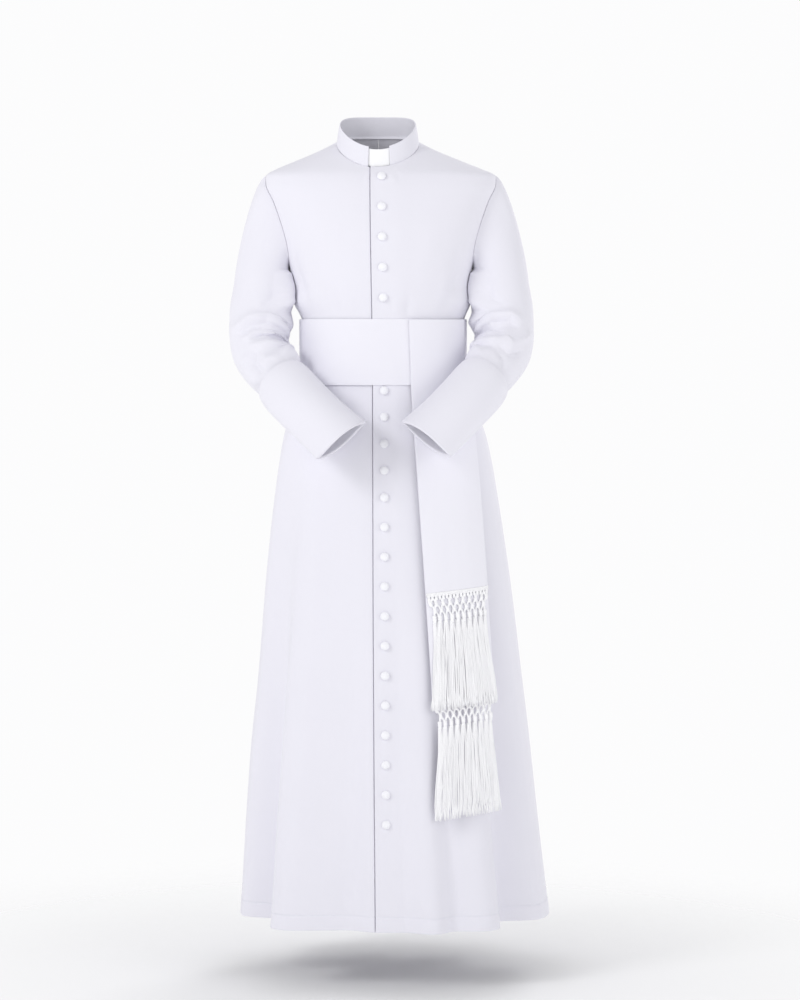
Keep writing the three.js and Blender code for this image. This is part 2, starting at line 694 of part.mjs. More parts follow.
/** Fringe in its flat layout, joined into one solid. */
function flatFringe(seed) {
  const pitch = TAIL_WIDTH / FRINGE.groups;
  const solids = [];
  const heading = new THREE.BoxGeometry(TAIL_WIDTH, 2, FRINGE.heading);
  heading.translate(TAIL_WIDTH / 2, 1, -FRINGE.heading / 2);
  solids.push(toSolid(heading));
  const addCord = (x0, z0, x1, z1) => {
    const ends = [new THREE.Vector3(x0, 1, -z0), new THREE.Vector3(x1, 1, -z1)];
    solids.push(toSolid(cordPrism(ends, FRINGE.cord, 3)));
  };
  const addKnot = (x, z) => {
    const knot = new THREE.OctahedronGeometry(FRINGE.knotSize);
    knot.scale(1, 0.62, 1.2);
    knot.translate(x, 1, -z);
    solids.push(toSolid(knot));
  };
  const [upper, lower] = FRINGE.knotRows;
  for (let i = 0; i < FRINGE.groups; i += 1) {
    const middle = (i + 0.5) * pitch;
    addCord(middle - pitch * 0.36, FRINGE.heading - 1.5, middle, upper);
    addCord(middle + pitch * 0.36, FRINGE.heading - 1.5, middle, upper);
    addKnot(middle, upper);
    addCord(middle, upper, i * pitch + (i === 0 ? 2 : 0), lower);
    addCord(middle, upper, (i + 1) * pitch - (i === FRINGE.groups - 1 ? 2 : 0), lower);
  }
  for (let i = 0; i <= FRINGE.groups; i += 1) {
    const inset = (i === 0 ? 2 : 0) - (i === FRINGE.groups ? 2 : 0);
    const middle = i * pitch + inset;
    addKnot(middle, lower);
    const spread = pitch / FRINGE.strandsPerGroup;
    for (let k = 0; k < FRINGE.strandsPerGroup; k += 1) {
      const side = k - (FRINGE.strandsPerGroup - 1) / 2;
      const x = i * pitch + side * spread;
      if (x < 0 || x > TAIL_WIDTH) continue;
      const sway = 1.1 * Math.sin(seed + 2.4 * i + 1.7 * k);
      const drop = FRINGE.length - 4 - 4 * Math.abs(Math.sin(seed * 3 + 5.1 * i + 2.3 * k));
      const points = [
        new THREE.Vector3(middle + side * 0.7, 1, -lower + 0.5),
        new THREE.Vector3(x, 1 + 0.2 * side, -lower - 22),
        new THREE.Vector3(x + sway * 0.4, 1, -drop),
      ];
      solids.push(toSolid(cordPrism(points, FRINGE.strand, 3, 0.7)));
    }
  }
  const joined = wasm.Manifold.union(solids).getMesh();
  return { positions: joined.vertProperties, faces: joined.triVerts };
}

/** Fringe hung from the foot of a tail. */
function fringeGeometry({ foot, rise, swing }, inset, seed) {
  const { positions, faces } = flatFringe(seed);
  const hung = [];
  const half = TAIL_WIDTH / 2;
  for (let i = 0; i < positions.length; i += 3) {
    const down = -positions[i + 2];
    const net = THREE.MathUtils.smoothstep(down, 0, FRINGE.knotRows[1] + 8);
    const loose = THREE.MathUtils.smoothstep(down, FRINGE.knotRows[1], FRINGE.length);
    const scale = 1 + (FRINGE.pinch - 1) * net + (FRINGE.flare - FRINGE.pinch) * loose;
    const across = half + (positions[i] - half) * scale;
    const level = foot + (rise * across) / TAIL_WIDTH - SEAM - down;
    const out = positions[i + 1] + (swing * down) / FRINGE.length;
    const point = tailPoint(across, level, out, inset);
    hung.push(point.x, point.y, point.z);
  }
  return closedGeometry(hung, Array.from(faces));
}

// Heights of the covered buttons: the neck to the sash, behind the hands, then to the hem.
const BUTTON_ROWS = [
  { first: -61.5, last: -286, count: 5 },
  { first: -459.5, last: -607, count: 4 },
  { first: -657, last: -1259, count: 12 },
];
const BUTTON = { radius: 8.2, height: 6.2, sides: 8, gap: 0.6 };

/** Levels of all buttons, top to bottom. */
function buttonLevels() {
  return BUTTON_ROWS.flatMap(({ first, last, count }) =>
    Array.from({ length: count }, (unused, i) => first + ((last - first) * i) / (count - 1)));
}

/** Covered dome button standing on the over front at a level. */
function buttonMesh(level, name) {
  const profile = [
    new THREE.Vector2(0, 0),
    new THREE.Vector2(BUTTON.radius * 0.78, 0),
    new THREE.Vector2(BUTTON.radius, BUTTON.height * 0.32),
    new THREE.Vector2(BUTTON.radius * 0.66, BUTTON.height * 0.84),
    new THREE.Vector2(0, BUTTON.height),
  ];
  const geometry = new THREE.LatheGeometry(profile, BUTTON.sides);
  const mesh = makeMesh(name, geometry, BUTTON_FINISH);
  let down = downAtLevel(level);
  if (level > CHEST) {
    const top = yokeTop(FRONT);
    down = (level - top) / (CHEST - top);
  }
  const angle = angleAtX(readTable(BUTTON_LINE, 'z', 'x', level), down);
  const normal = clothNormal(angle, down);
  mesh.position.copy(clothPoint(angle, down)).addScaledVector(normal, CLOTH + SEAM + BUTTON.gap);
  mesh.quaternion.setFromUnitVectors(new THREE.Vector3(0, 1, 0), normal);
  return mesh;
}

const CLOTH_FINISH = { color: '#eeedf7', roughness: 0.86, metalness: 0 };
const TAB_FINISH = { color: '#fbfbfd', roughness: 0.4, metalness: 0 };
const SASH_FINISH = { color: '#efeef8', roughness: 0.6, metalness: 0 };
const FRINGE_FINISH = { color: '#f6f5fb', roughness: 0.55, metalness: 0 };
const BUTTON_FINISH = { color: '#f3f2fa', roughness: 0.6, metalness: 0 };

/** Named mesh with its own material. */
function makeMesh(name, geometry, finish) {
  const mesh = new THREE.Mesh(geometry, new THREE.MeshStandardMaterial(finish));
  mesh.name = name;
  return mesh;
}

const cassock = new THREE.Group();
const right = sleevePieces(-1, SLEEVE_PATHS.right);
const left = sleevePieces(1, SLEEVE_PATHS.left);
const collarGap = [neckAngle(COLLAR.openTo), 2 * Math.PI + neckAngle(COLLAR.openFrom)];
cassock.add(
  makeMesh('front_right', panelGeometry(frontPanel(-1)), CLOTH_FINISH),
  makeMesh('front_left', panelGeometry(frontPanel(1)), CLOTH_FINISH),
  makeMesh('back_right', panelGeometry(backPanel(-1)), CLOTH_FINISH),
  makeMesh('back_left', panelGeometry(backPanel(1)), CLOTH_FINISH),
  makeMesh('sleeve_right', right.sleeve, CLOTH_FINISH),
  makeMesh('sleeve_left', left.sleeve, CLOTH_FINISH),
  makeMesh('cuff_right', right.cuff, CLOTH_FINISH),
  makeMesh('cuff_left', left.cuff, CLOTH_FINISH),
  makeMesh(
    'collar_band',
    collarWall(...collarGap, COLLAR.lift, COLLAR.height - COLLAR.lift, COLLAR.columns, 0, CLOTH),
    CLOTH_FINISH,
  ),
  makeMesh(
    'collar_tab',
    collarWall(neckAngle(TAB.from), neckAngle(TAB.to), TAB.foot, TAB.height - TAB.foot, TAB.columns,
      CLOTH + LAYER, 1.2),
    TAB_FINISH,
  ),
  makeMesh('sash_band', bandGeometry(), SASH_FINISH),
  makeMesh('sash_tail_back', tailGeometry(TAIL_BACK, TAIL_BACK_INSET), SASH_FINISH),
  makeMesh('sash_tail_front', tailGeometry(TAIL_FRONT, TAIL_FRONT_INSET), SASH_FINISH),
  makeMesh('fringe_back', fringeGeometry(TAIL_BACK, TAIL_BACK_INSET, 0.7), FRINGE_FINISH),
  makeMesh('fringe_front', fringeGeometry(TAIL_FRONT, TAIL_FRONT_INSET, 2.1), FRINGE_FINISH),
);
buttonLevels().forEach((level, i) => {
  cassock.add(buttonMesh(level, `button_${String(i + 1).padStart(2, '0')}`));
});

export default cassock;
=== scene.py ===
"""A white cassock with a wide fringed sash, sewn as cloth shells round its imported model.

Metres throughout, +Z up. The front faces -Y, +X is the wearer's left, and the origin is the
middle of the neck. Angles round the body run from the front centre, positive towards +X.
"""

import logging
import math
from dataclasses import dataclass, field
from enum import Enum
from typing import NamedTuple, Sequence

import bpy
import numpy as np
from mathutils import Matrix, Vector


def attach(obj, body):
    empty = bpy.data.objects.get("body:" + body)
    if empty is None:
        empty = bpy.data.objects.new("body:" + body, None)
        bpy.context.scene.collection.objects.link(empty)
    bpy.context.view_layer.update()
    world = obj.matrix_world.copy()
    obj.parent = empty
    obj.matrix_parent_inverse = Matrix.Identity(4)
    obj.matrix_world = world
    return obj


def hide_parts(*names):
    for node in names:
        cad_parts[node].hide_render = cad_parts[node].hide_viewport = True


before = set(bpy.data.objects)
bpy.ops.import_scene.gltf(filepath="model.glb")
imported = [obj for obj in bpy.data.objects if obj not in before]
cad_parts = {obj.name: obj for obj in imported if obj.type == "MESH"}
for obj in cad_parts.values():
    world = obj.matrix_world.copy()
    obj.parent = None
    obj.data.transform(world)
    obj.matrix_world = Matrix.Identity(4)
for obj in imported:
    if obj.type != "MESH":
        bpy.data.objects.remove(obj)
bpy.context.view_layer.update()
LOG = logging.getLogger("cassock")

MM = 0.001
CLOTH = 1.8 * MM  # wall of the cassock cloth
SASH_CLOTH = 2 * MM  # wall of the sash cloth
SEAM = 0.3 * MM  # gap between two pieces at a seam
LAYER = 0.35 * MM  # gap between two layers that lie on each other
NECK_SIDE = 4 * MM  # neckline at the shoulder seam
CHEST = -232 * MM  # level of the underarm points
HEM = -1457 * MM
HEM_STITCH = HEM + 28 * MM
EDGE_ROUNDING = 0.32  # part of a wall's thickness taken off each face at its edge
CRISP = 80  # angle in degrees past which an edge of a cord or a button stays crisp
SIDE = math.pi / 2
BACK = math.pi
UV_LAYER = "ClothUV"

Array = np.ndarray
Piece = bpy.types.Object
Pair = tuple[float, float]
Triple = tuple[float, float, float]
Edges = tuple[bool, bool, bool, bool]
Socket = bpy.types.NodeSocket
Sockets = dict[str | int, object]


class Side(Enum):
    """The wearer's sides, as the sign of X."""

    RIGHT = -1
    LEFT = 1


class Slot(Enum):
    """Material slots of the record."""

    CLOTH = "cassock_cloth"
    TAB = "collar_tab"
    SASH = "sash_cloth"
    FRINGE = "fringe_cord"
    BUTTON = "button_cloth"


def rows_of(kind: type, *rows: tuple) -> list:
    """Table of named rows from plain ones."""
    return [kind(*row) for row in rows]


class BodySection(NamedTuple):
    """A level section: centre in X, half width, depths, and the power of its outline."""

    z: float
    centre: float
    half: float
    front: float
    back: float
    power: float


BODY_SECTIONS = rows_of(
    BodySection,
    (4, -5, 87, 7, 66, 2), (-5, -5, 108, 29, 72, 2), (-20, -4, 144, 51, 79, 2),
    (-31, -4, 170, 64, 84, 2), (-43, -3, 199, 77, 88, 2), (-55, 0, 220, 87, 93, 2.05),
    (-72, 0, 220, 95, 99, 2.1), (-105, 0, 208, 106, 108, 2.2), (-165, 0, 190, 121, 118, 2.3),
    (-232, 0, 172, 128, 116, 2.4), (-283, 2, 160, 125, 111, 2.4), (-326, 4, 154, 120, 106, 2.4),
    (-387, 4, 154, 117, 102, 2.4), (-449, 5, 160, 120, 108, 2.35), (-500, 6, 177, 126, 121, 2.3),
    (-555, 8, 194, 138, 135, 2.25), (-669, 10, 213, 150, 155, 2.2), (-859, 14, 237, 170, 185, 2.1),
    (-1239, 20, 275, 205, 230, 2.1), (-1457, 26, 295, 222, 250, 2.1),
)


class SkirtFold(NamedTuple):
    """A fold that grows from the hips: angle and reach in degrees, rise and start in mm."""

    angle: float
    spread: float
    depth: float
    start: float


SKIRT_FOLDS = rows_of(
    SkirtFold,
    (-67, 15, -60, -520), (-48, 16, 31, -540), (-23, 14, -15, -600), (17, 13, 25, -640),
    (40, 14, 20, -540), (60, 14, -52, -520), (110, 15, 16, -560), (128, 14, -36, -520),
    (147, 15, 26, -540), (165, 12, -24, -500), (180, 13, 22, -500), (-166, 12, -26, -500),
    (-149, 15, 24, -540), (-130, 14, -38, -520), (-112, 15, 18, -560),
)


class Crease(NamedTuple):
    """A soft trough (depth below zero) or ridge, in millimetres and degrees.

    across and along are its middle on the cloth: an angle in degrees and a level. It runs for
    length, leaning by lean degrees from upright, and bows sideways by bow at its ends.
    """

    across: float
    along: float
    length: float
    width: float
    depth: float
    lean: float
    bow: float


BODY_CREASES = rows_of(
    Crease,
    (-66, -246, 150, 9, -3.4, -8, 14), (-56, -262, 130, 12, 2.2, -14, 12),
    (-74, -282, 90, 8, -2.4, 4, 6), (-40, -300, 70, 9, -1.6, -10, 5),
    (60, -250, 150, 10, -3.0, 12, -14), (49, -274, 110, 12, 2.0, 16, -10),
    (71, -286, 90, 8, -2.4, -2, -6), (22, -304, 70, 8, -2.6, 8, -4),
    (-19, -58, 30, 4, -1.3, 38, 2), (-14, -66, 26, 4, 0.9, 34, 2),
    (21, -60, 30, 4, -1.5, -38, -2), (16, -69, 26, 4, 1.0, -34, -2),
    (12, -306, 46, 7, 1.4, 4, -3), (-20, -310, 44, 8, -1.2, -5, 3),
    (38, -196, 120, 16, 1.4, 24, -10), (-36, -190, 120, 16, 1.4, -24, 10),
    (150, -210, 170, 16, -3.2, 10, 16), (128, -250, 140, 12, -3.4, 16, 10),
    (-148, -214, 160, 15, -3.0, -12, -14), (-126, -254, 130, 12, -3.2, -16, -10),
    (168, -296, 70, 10, -1.8, 2, 3), (-170, -300, 60, 9, -1.6, -3, -3),
    (109, -290, 70, 9, -2.2, 8, 4), (-108, -292, 70, 9, -2.2, -8, -4),
    (-30, -500, 90, 10, -1.8, 6, 5), (-58, -505, 110, 11, -2.4, 8, 6),
    (-44, -520, 120, 12, 2.0, 7, 6), (-80, -520, 120, 11, -2.0, 4, 4),
    (84, -540, 130, 12, -2.0, -5, -5), (110, -505, 110, 12, -2.2, -7, -6),
    (140, -505, 120, 12, -2.6, -5, -5), (158, -520, 120, 12, 1.8, -3, -4),
    (-112, -510, 110, 12, -2.2, 7, 6), (-138, -505, 120, 12, -2.6, 5, 5),
    (-158, -520, 120, 12, 1.8, 3, 4), (-8, -690, 260, 20, -2.2, 2, 6),
    (-34, -800, 340, 24, -3.0, 4, 8), (6, -980, 360, 22, -2.6, -2, -6),
    (28, -1180, 300, 20, -2.4, -3, -6), (-14, -1200, 320, 22, 2.6, 2, 6),
    (78, -980, 380, 22, -3.0, -3, -6), (-84, -960, 380, 22, -3.0, 3, 6),
    (98, -1150, 360, 20, 2.6, -2, -6), (-97, -1180, 340, 20, 2.6, 2, 6),
    (138, -900, 380, 22, -3.0, -3, -8), (-140, -920, 380, 22, -3.0, 3, 8),
    (156, -1150, 300, 18, 2.4, -2, -6), (-157, -1140, 300, 18, 2.4, 2, 6),
)


class LineStop(NamedTuple):
    """X of a line down the garment at a level, in millimetres."""

    z: float
    x: float


BUTTON_LINE = rows_of(
    LineStop,
    (4, 1.5), (-43, 1.5), (-400, 6), (-900, 8), (-1457, 12),
)
SASH_FOOT_MM = (-465, -449)
SASH_TOP_MM = (-328, -316)
OVERLAP = 20.5 * MM
UNDERLAP = 20 * MM
LAP_REST = 2 * MM
LAP_RAMP = 42 * MM


class ArmholeRow(NamedTuple):
    """The armhole's edge: part of the way down the yoke, and angles in front and behind."""

    down: float
    front: float
    back: float


ARMHOLE = rows_of(
    ArmholeRow,
    (0.25, 90, 90), (0.36, 84.5, 97), (0.47, 81.5, 102), (0.58, 79, 105),
    (0.69, 77, 106.5), (0.79, 76, 106), (0.88, 77, 103), (0.95, 81.5, 98),
    (1, 90, 90),
)
SHOULDER_DOWN = 0.25
ARMHOLE_STOPS = [0.25, 0.35, 0.45, 0.55, 0.65, 0.75, 0.845, 0.93, 1]


class SmoothTable:
    """Smooth curves through the rows of a table, by one of its columns."""

    def __init__(self, rows: Sequence[NamedTuple], place: str) -> None:
        """Args:
            rows: Table rows with named columns.
            place: Name of the column that says where a row lies.
        """
        ordered = sorted(rows, key=lambda row: getattr(row, place))
        self.place = np.array([getattr(row, place) for row in ordered], float)
        self.values = {
            name: np.array([getattr(row, name) for row in ordered], float) for name in ordered[0]._fields
        }
        self.slopes = {name: self._slopes(values) for name, values in self.values.items()}

    def _slopes(self, values: Array) -> Array:
        """Slope at each row, which never overshoots.

        Args:
            values: One column's values.

        Returns:
            The slope of the curve at each row.
        """
        step = np.diff(values) / np.diff(self.place)
        before, after = step[:-1], step[1:]
        product = before * after
        total = np.where(before + after == 0, 1, before + after)
        inner = np.where(product > 0, 2 * product / total, 0)
        return np.concatenate([step[:1], inner, step[-1:]])

    def read(self, name: str, at: Array) -> Array:
        """Args:
            name: Column to read.
            at: Places to read it at.

        Returns:
            The column's values there.
        """
        at = np.asarray(at, float)
        values, slopes = self.values[name], self.slopes[name]
        i = np.clip(np.searchsorted(self.place, at, side="right") - 1, 0, len(self.place) - 2)
        width = self.place[i + 1] - self.place[i]
        t = np.clip((at - self.place[i]) / width, 0, 1)
        return hermite(values[i], slopes[i] * width, values[i + 1], slopes[i + 1] * width, t)


def smoothstep(value: Array, low: float, high: float) -> Array:
    """Smooth rise from 0 at low to 1 at high."""
    t = np.clip((np.asarray(value, float) - low) / (high - low), 0, 1)
    return t * t * (3 - 2 * t)


def unit(vectors: Array) -> Array:
    """Vectors brought to length 1."""
    return vectors / np.maximum(np.linalg.norm(vectors, axis=-1, keepdims=True), 1e-12)


def bell(distance: Array, reach: float) -> Array:
    """1 at no distance, fading over a reach."""
    return np.exp(-((distance / reach) ** 2))


def hermite(start: Array, leave: Array, end: Array, arrive: Array, t: Array) -> Array:
    """Smooth way between two values.

    Args:
        start: Values at the start.
        leave: Slopes there.
        end: Values at the end.
        arrive: Slopes there.
        t: Places between, from 0 to 1.

    Returns:
        The values at those places.
    """
    s = 1 - t
    return (
        start * (1 + 2 * t) * s * s + leave * t * s * s + end * t * t * (3 - 2 * t) - arrive * t * t * s
    )


def floats(*values: object) -> list[Array]:
    """Values as arrays of one shape."""
    return np.broadcast_arrays(*(np.asarray(value, float) for value in values))


def row_reach(points: Array) -> Array:
    """Distance travelled along each row of a grid."""
    step = np.linalg.norm(np.diff(points, axis=1), axis=2)
    return np.concatenate([np.zeros((len(points), 1)), np.cumsum(step, 1)], 1)


def path_reach(line: Array) -> Array:
    """Distance travelled along a line at each of its points."""
    return np.concatenate([[0], np.cumsum(np.linalg.norm(np.diff(line, axis=0), axis=1))])


def at_reach(at: Array, reach: Array, values: Array) -> Array:
    """Points or vectors of a line at distances along it."""
    return np.stack([np.interp(at, reach, values[:, i]) for i in range(3)], 1)


def cells(rows: int, columns: int) -> tuple[Array, Array]:
    """Row and column of each cell of a grid."""
    r, c = np.meshgrid(np.arange(rows), np.arange(columns), indexing="ij")
    return r.ravel(), c.ravel()


def below_chest(z: Array | float) -> Array | float:
    """Place down the body, from 1 at the chest to 2 at the hem, for a level."""
    return 1 + (z - CHEST) / (HEM - CHEST)


def crease_relief(creases: Sequence[Crease], across: Array, along: Array, radius: float) -> Array:
    """Height that a list of creases gives a cloth.

    Args:
        creases: The creases.
        across: Angles of the points, in degrees.
        along: Levels of the points, in millimetres.
        radius: Radius that turns an angle into a width, in millimetres.

    Returns:
        The height of each point, in millimetres.
    """
    height = np.zeros(np.broadcast(across, along).shape)
    for crease in creases:
        away = (across - crease.across + 180) % 360 - 180
        dx = np.radians(away) * radius
        dz = along - crease.along
        lean = math.radians(crease.lean)
        run = dz * math.cos(lean) + dx * math.sin(lean)
        off = dx * math.cos(lean) - dz * math.sin(lean)
        half = crease.length / 2
        off = off - crease.bow * (run / half) ** 2
        taper = np.clip(1 - (run / half) ** 2, 0, 1) ** 2
        height = height + crease.depth * taper * bell(off, crease.width)
    return height


class BodyForm:
    """The shape that the cassock's body takes when worn."""

    NECK_X, NECK_Y = -6 * MM, -2 * MM
    NECK_HALF, NECK_DEPTH = 78 * MM, 75 * MM
    NECK_MID, NECK_TILT, NECK_DIP = -3.25 * MM, 32.5 * MM, 7.25 * MM
    YOKE_EASE = 0.55
    YOKE_BACK_DROP = 14 * MM
    STEP_ANGLE, STEP_DOWN = 0.004, 0.003
    SIDE_FULLNESS = 9.5 * MM
    FULL_LEVEL, FULL_REACH = -293 * MM, 22 * MM
    CREASE_RADIUS = 150
    BESIDE = (0.72, 0.95)

    def __init__(self) -> None:
        """Reads the tables."""
        self.sections = SmoothTable(BODY_SECTIONS, "z")
        self.buttons = SmoothTable(BUTTON_LINE, "z")
        self.armhole = SmoothTable(ARMHOLE, "down")

    def fold_height(self, angle: Array, z: Array) -> Array:
        """Height of the skirt's large folds.

        Args:
            angle: Angles in radians.
            z: Levels in metres.

        Returns:
            The height in metres.
        """
        degrees, level = np.degrees(angle), z / MM
        height = np.zeros(np.broadcast(degrees, level).shape)
        for fold in SKIRT_FOLDS:
            away = np.abs((degrees - fold.angle + 180) % 360 - 180)
            grown = np.clip((fold.start - level) / (fold.start - HEM / MM), 0, None) ** 1.25
            bump = np.where(away < fold.spread, 0.5 * (1 + np.cos(np.pi * away / fold.spread)), 0)
            height = height + fold.depth * grown * bump
        return height * MM

    def point(self, angle: Array, z: Array, folded: float = 1) -> Array:
        """Points of the body line.

        Args:
            angle: Angles in radians.
            z: Levels in metres.
            folded: 1 with the skirt's folds, 0 without.

        Returns:
            Points in metres.
        """
        angle, z = floats(angle, z)
        level = z / MM
        across, along = np.abs(np.sin(angle)), np.abs(np.cos(angle))
        depth, power = self.depth_power(np.cos(angle) > 0, level)
        half = self.sections.read("half", level)
        radius = ((across / half) ** power + (along / depth) ** power) ** (-1 / power) * MM
        reach = radius + folded * self.fold_height(angle, z)
        centre = self.sections.read("centre", level) * MM
        return np.stack([centre + reach * np.sin(angle), -reach * np.cos(angle), z], -1)

    def depth_power(self, in_front: Array, level: Array) -> tuple[Array, Array]:
        """Depth before or behind the middle, and power of the outline, in millimetres."""
        depth = np.where(in_front, self.sections.read("front", level), self.sections.read("back", level))
        return depth, self.sections.read("power", level)

    def neck(self, angle: Array) -> Array:
        """Points of the neckline."""
        angle = np.asarray(angle, float)
        return np.stack([
            self.NECK_X + self.NECK_HALF * np.sin(angle),
            self.NECK_Y - self.NECK_DEPTH * np.cos(angle),
            self.NECK_MID - self.NECK_TILT * np.cos(angle) - self.NECK_DIP * np.cos(2 * angle),
        ], -1)

    def yoke_top(self, angle: Array) -> Array:
        """Level at which the body line starts below the neckline."""
        return np.where(
            np.cos(angle) > 0, self.neck(angle)[..., 2], NECK_SIDE - self.YOKE_BACK_DROP * np.cos(angle) ** 2
        )

    def cloth(self, angle: Array, down: Array) -> Array:
        """Points of the cassock's body.

        Args:
            angle: Angles in radians.
            down: 0 to 1 from neckline to chest, and 1 to 2 from there to the hem.

        Returns:
            Points in metres.
        """
        angle, down = floats(angle, down)
        top = self.yoke_top(angle)
        z = np.where(down < 1, top + (CHEST - top) * down, CHEST + (HEM - CHEST) * (down - 1))
        ease = np.clip(1 - down / self.YOKE_EASE, 0, None) ** 2
        shift = self.neck(angle) - self.point(angle, top)
        return self.point(angle, z) + shift * ease[..., None]

    def normal(self, angle: Array, down: Array) -> Array:
        """Outward normals of the body, level across the side and back seams.

        Args:
            angle: Angles in radians.
            down: Places down the body, as in cloth.

        Returns:
            Unit vectors.
        """
        angle, down = floats(angle, down)
        safe = np.maximum(down, self.STEP_ANGLE)
        a, d = self.STEP_ANGLE, self.STEP_DOWN
        round_way = self.cloth(angle + a, safe) - self.cloth(angle - a, safe)
        down_way = self.cloth(angle, safe + d) - self.cloth(angle, safe - d)
        normal = np.cross(down_way, round_way)
        normal[..., 1] = np.where(np.abs(np.abs(angle) - SIDE) < 0.02, 0, normal[..., 1])
        normal[..., 0] = np.where(np.abs(np.abs(angle) - BACK) < 0.02, 0, normal[..., 0])
        return unit(normal)

    def angle_at_x(self, x: Array, down: Array) -> Array:
        """Angle at which a row of the body passes through an X in front.

        Args:
            x: X in metres.
            down: Places down the body, as in cloth.

        Returns:
            Angles in radians.
        """
        x, down = floats(x, down)
        angle, size = np.zeros(x.shape), 0.001
        for _ in range(12):
            here = self.cloth(angle, down)[..., 0]
            slope = (self.cloth(angle + size, down)[..., 0] - here) / size
            angle = angle + (x - here) / slope
        return angle

    def down_at(self, z: float) -> float:
        """Place down the front centre for a level in metres."""
        if z > CHEST:
            top = float(self.yoke_top(np.array(0.0)))
            return (z - top) / (CHEST - top)
        return below_chest(z)

    def side_angle(self, down: Array, name: str) -> Array:
        """Angle of a panel's side edge: shoulder seam, armhole, then side seam."""
        on_hole = (down > SHOULDER_DOWN) & (down < 1)
        return np.where(on_hole, np.radians(self.armhole.read(name, down)), SIDE)

    def relief(self, angle: Array, z: Array) -> Array:
        """Height of the small creases, kept off what lies under the sash.

        Args:
            angle: Angles in radians.
            z: Levels in metres.

        Returns:
            The height in metres.
        """
        height = crease_relief(BODY_CREASES, np.degrees(angle), z / MM, self.CREASE_RADIUS) * MM
        beside = smoothstep(np.abs(np.sin(angle)), *self.BESIDE)
        return (height + self.side_swell(z) * beside) * (1 - self.sash_cover(z))

    def side_swell(self, z: Array) -> Array:
        """Fullness of the body's sides above the sash."""
        return self.SIDE_FULLNESS * bell(z - self.FULL_LEVEL, self.FULL_REACH)

    def side_reach(self, y: Array, z: Array, side: Side) -> Array:
        """X of the body's side above the sash.

        Args:
            y: Places from front to back.
            z: Levels.
            side: Side of the body.

        Returns:
            X in metres.
        """
        level = z / MM
        depth, power = self.depth_power(y < 0, level)
        share = np.clip(1 - np.clip(np.abs(y) / MM / depth, 0, 1) ** power, 0, 1) ** (1 / power)
        centre = self.sections.read("centre", level)
        half = self.sections.read("half", level)
        return (centre + side.value * half * share) * MM + side.value * self.side_swell(z)

    def button_x(self, z: Array | float) -> Array:
        """X of the button line at a level."""
        return self.buttons.read("x", np.asarray(z) / MM) * MM

    @staticmethod
    def sash_cover(z: Array) -> Array:
        """1 where the sash covers the cloth, 0 elsewhere."""
        return smoothstep(z / MM, *SASH_FOOT_MM) * (1 - smoothstep(z / MM, *SASH_TOP_MM))


@dataclass(frozen=True)
class Wall:
    """Grids of a cloth wall's two faces, with its layout on the flat cloth in metres."""

    outer: Array
    inner: Array
    layout: Array
    wraps: bool = False

    def faces(self) -> tuple[Array, Array]:
        """Quads of the closed wall.

        Returns:
            Vertex indices and layout indices, four to a row.
        """
        rows, columns = self.outer.shape[:2]
        spans = columns if self.wraps else columns - 1
        wide = spans + 1
        r, c = cells(rows - 1, spans)
        quads: list[list[tuple]] = [
            [(0, r, c), (0, r + 1, c), (0, r + 1, c + 1), (0, r, c + 1)],
            [(1, r, c), (1, r, c + 1), (1, r + 1, c + 1), (1, r + 1, c)],
        ]
        c = np.arange(spans)
        for row, turned in ((0, False), (rows - 1, True)):
            here = np.full(spans, row)
            rim = [(0, here, c), (0, here, c + 1), (1, here, c + 1), (1, here, c)]
            quads.append(rim[::-1] if turned else rim)
        if not self.wraps:
            r = np.arange(rows - 1)
            for column, turned in ((0, False), (columns - 1, True)):
                here = np.full(rows - 1, column)
                rim = [(0, r, here), (1, r, here), (1, r + 1, here), (0, r + 1, here)]
                quads.append(rim[::-1] if turned else rim)
        vertex = [
            np.stack([(layer * rows + row) * columns + column % columns for layer, row, column in quad], 1)
            for quad in quads
        ]
        place = [np.stack([row * wide + column for _, row, column in quad], 1) for quad in quads]
        return np.concatenate(vertex), np.concatenate(place)


def linked(name: str, data: bpy.types.ID) -> Piece:
    """New object in the scene."""
    placed = bpy.data.objects.new(name, data)
    bpy.context.scene.collection.objects.link(placed)
    return placed


def mesh_object(
    name: str, points: Array, faces: Array, corner_uv: Array | None = None, sharp: float = 50
) -> Piece:
    """Smooth-shaded object from arrays.

    Args:
        name: Name of the object.
        points: Vertex positions.
        faces: Vertex indices, a face to a row.
        corner_uv: Layout of each face corner, in the order of the faces.
        sharp: Angle in degrees past which an edge stays crisp.

    Returns:
        The linked object, with its faces pointing out.
    """
    points = np.ascontiguousarray(points.reshape(-1, 3), float)
    a, b, c = (points[faces[:, i]] for i in (0, 1, 2))
    volume = np.einsum("ij,ij->i", a, np.cross(b, c)).sum()
    if faces.shape[1] == 4:
        d = points[faces[:, 3]]
        volume += np.einsum("ij,ij->i", a, np.cross(c, d)).sum()
    if volume < 0:
        faces = faces[:, ::-1]
        corner_uv = None if corner_uv is None else corner_uv[:, ::-1]
    mesh = bpy.data.meshes.new(name)
    mesh.from_pydata(points.tolist(), [], faces.tolist())
    if corner_uv is not None:
        layer = mesh.uv_layers.new(name=UV_LAYER)
        layer.uv.foreach_set("vector", corner_uv.astype(np.float32).ravel())
    mesh.shade_smooth()
    mesh.set_sharp_from_angle(angle=math.radians(sharp))
    return linked(name, mesh)


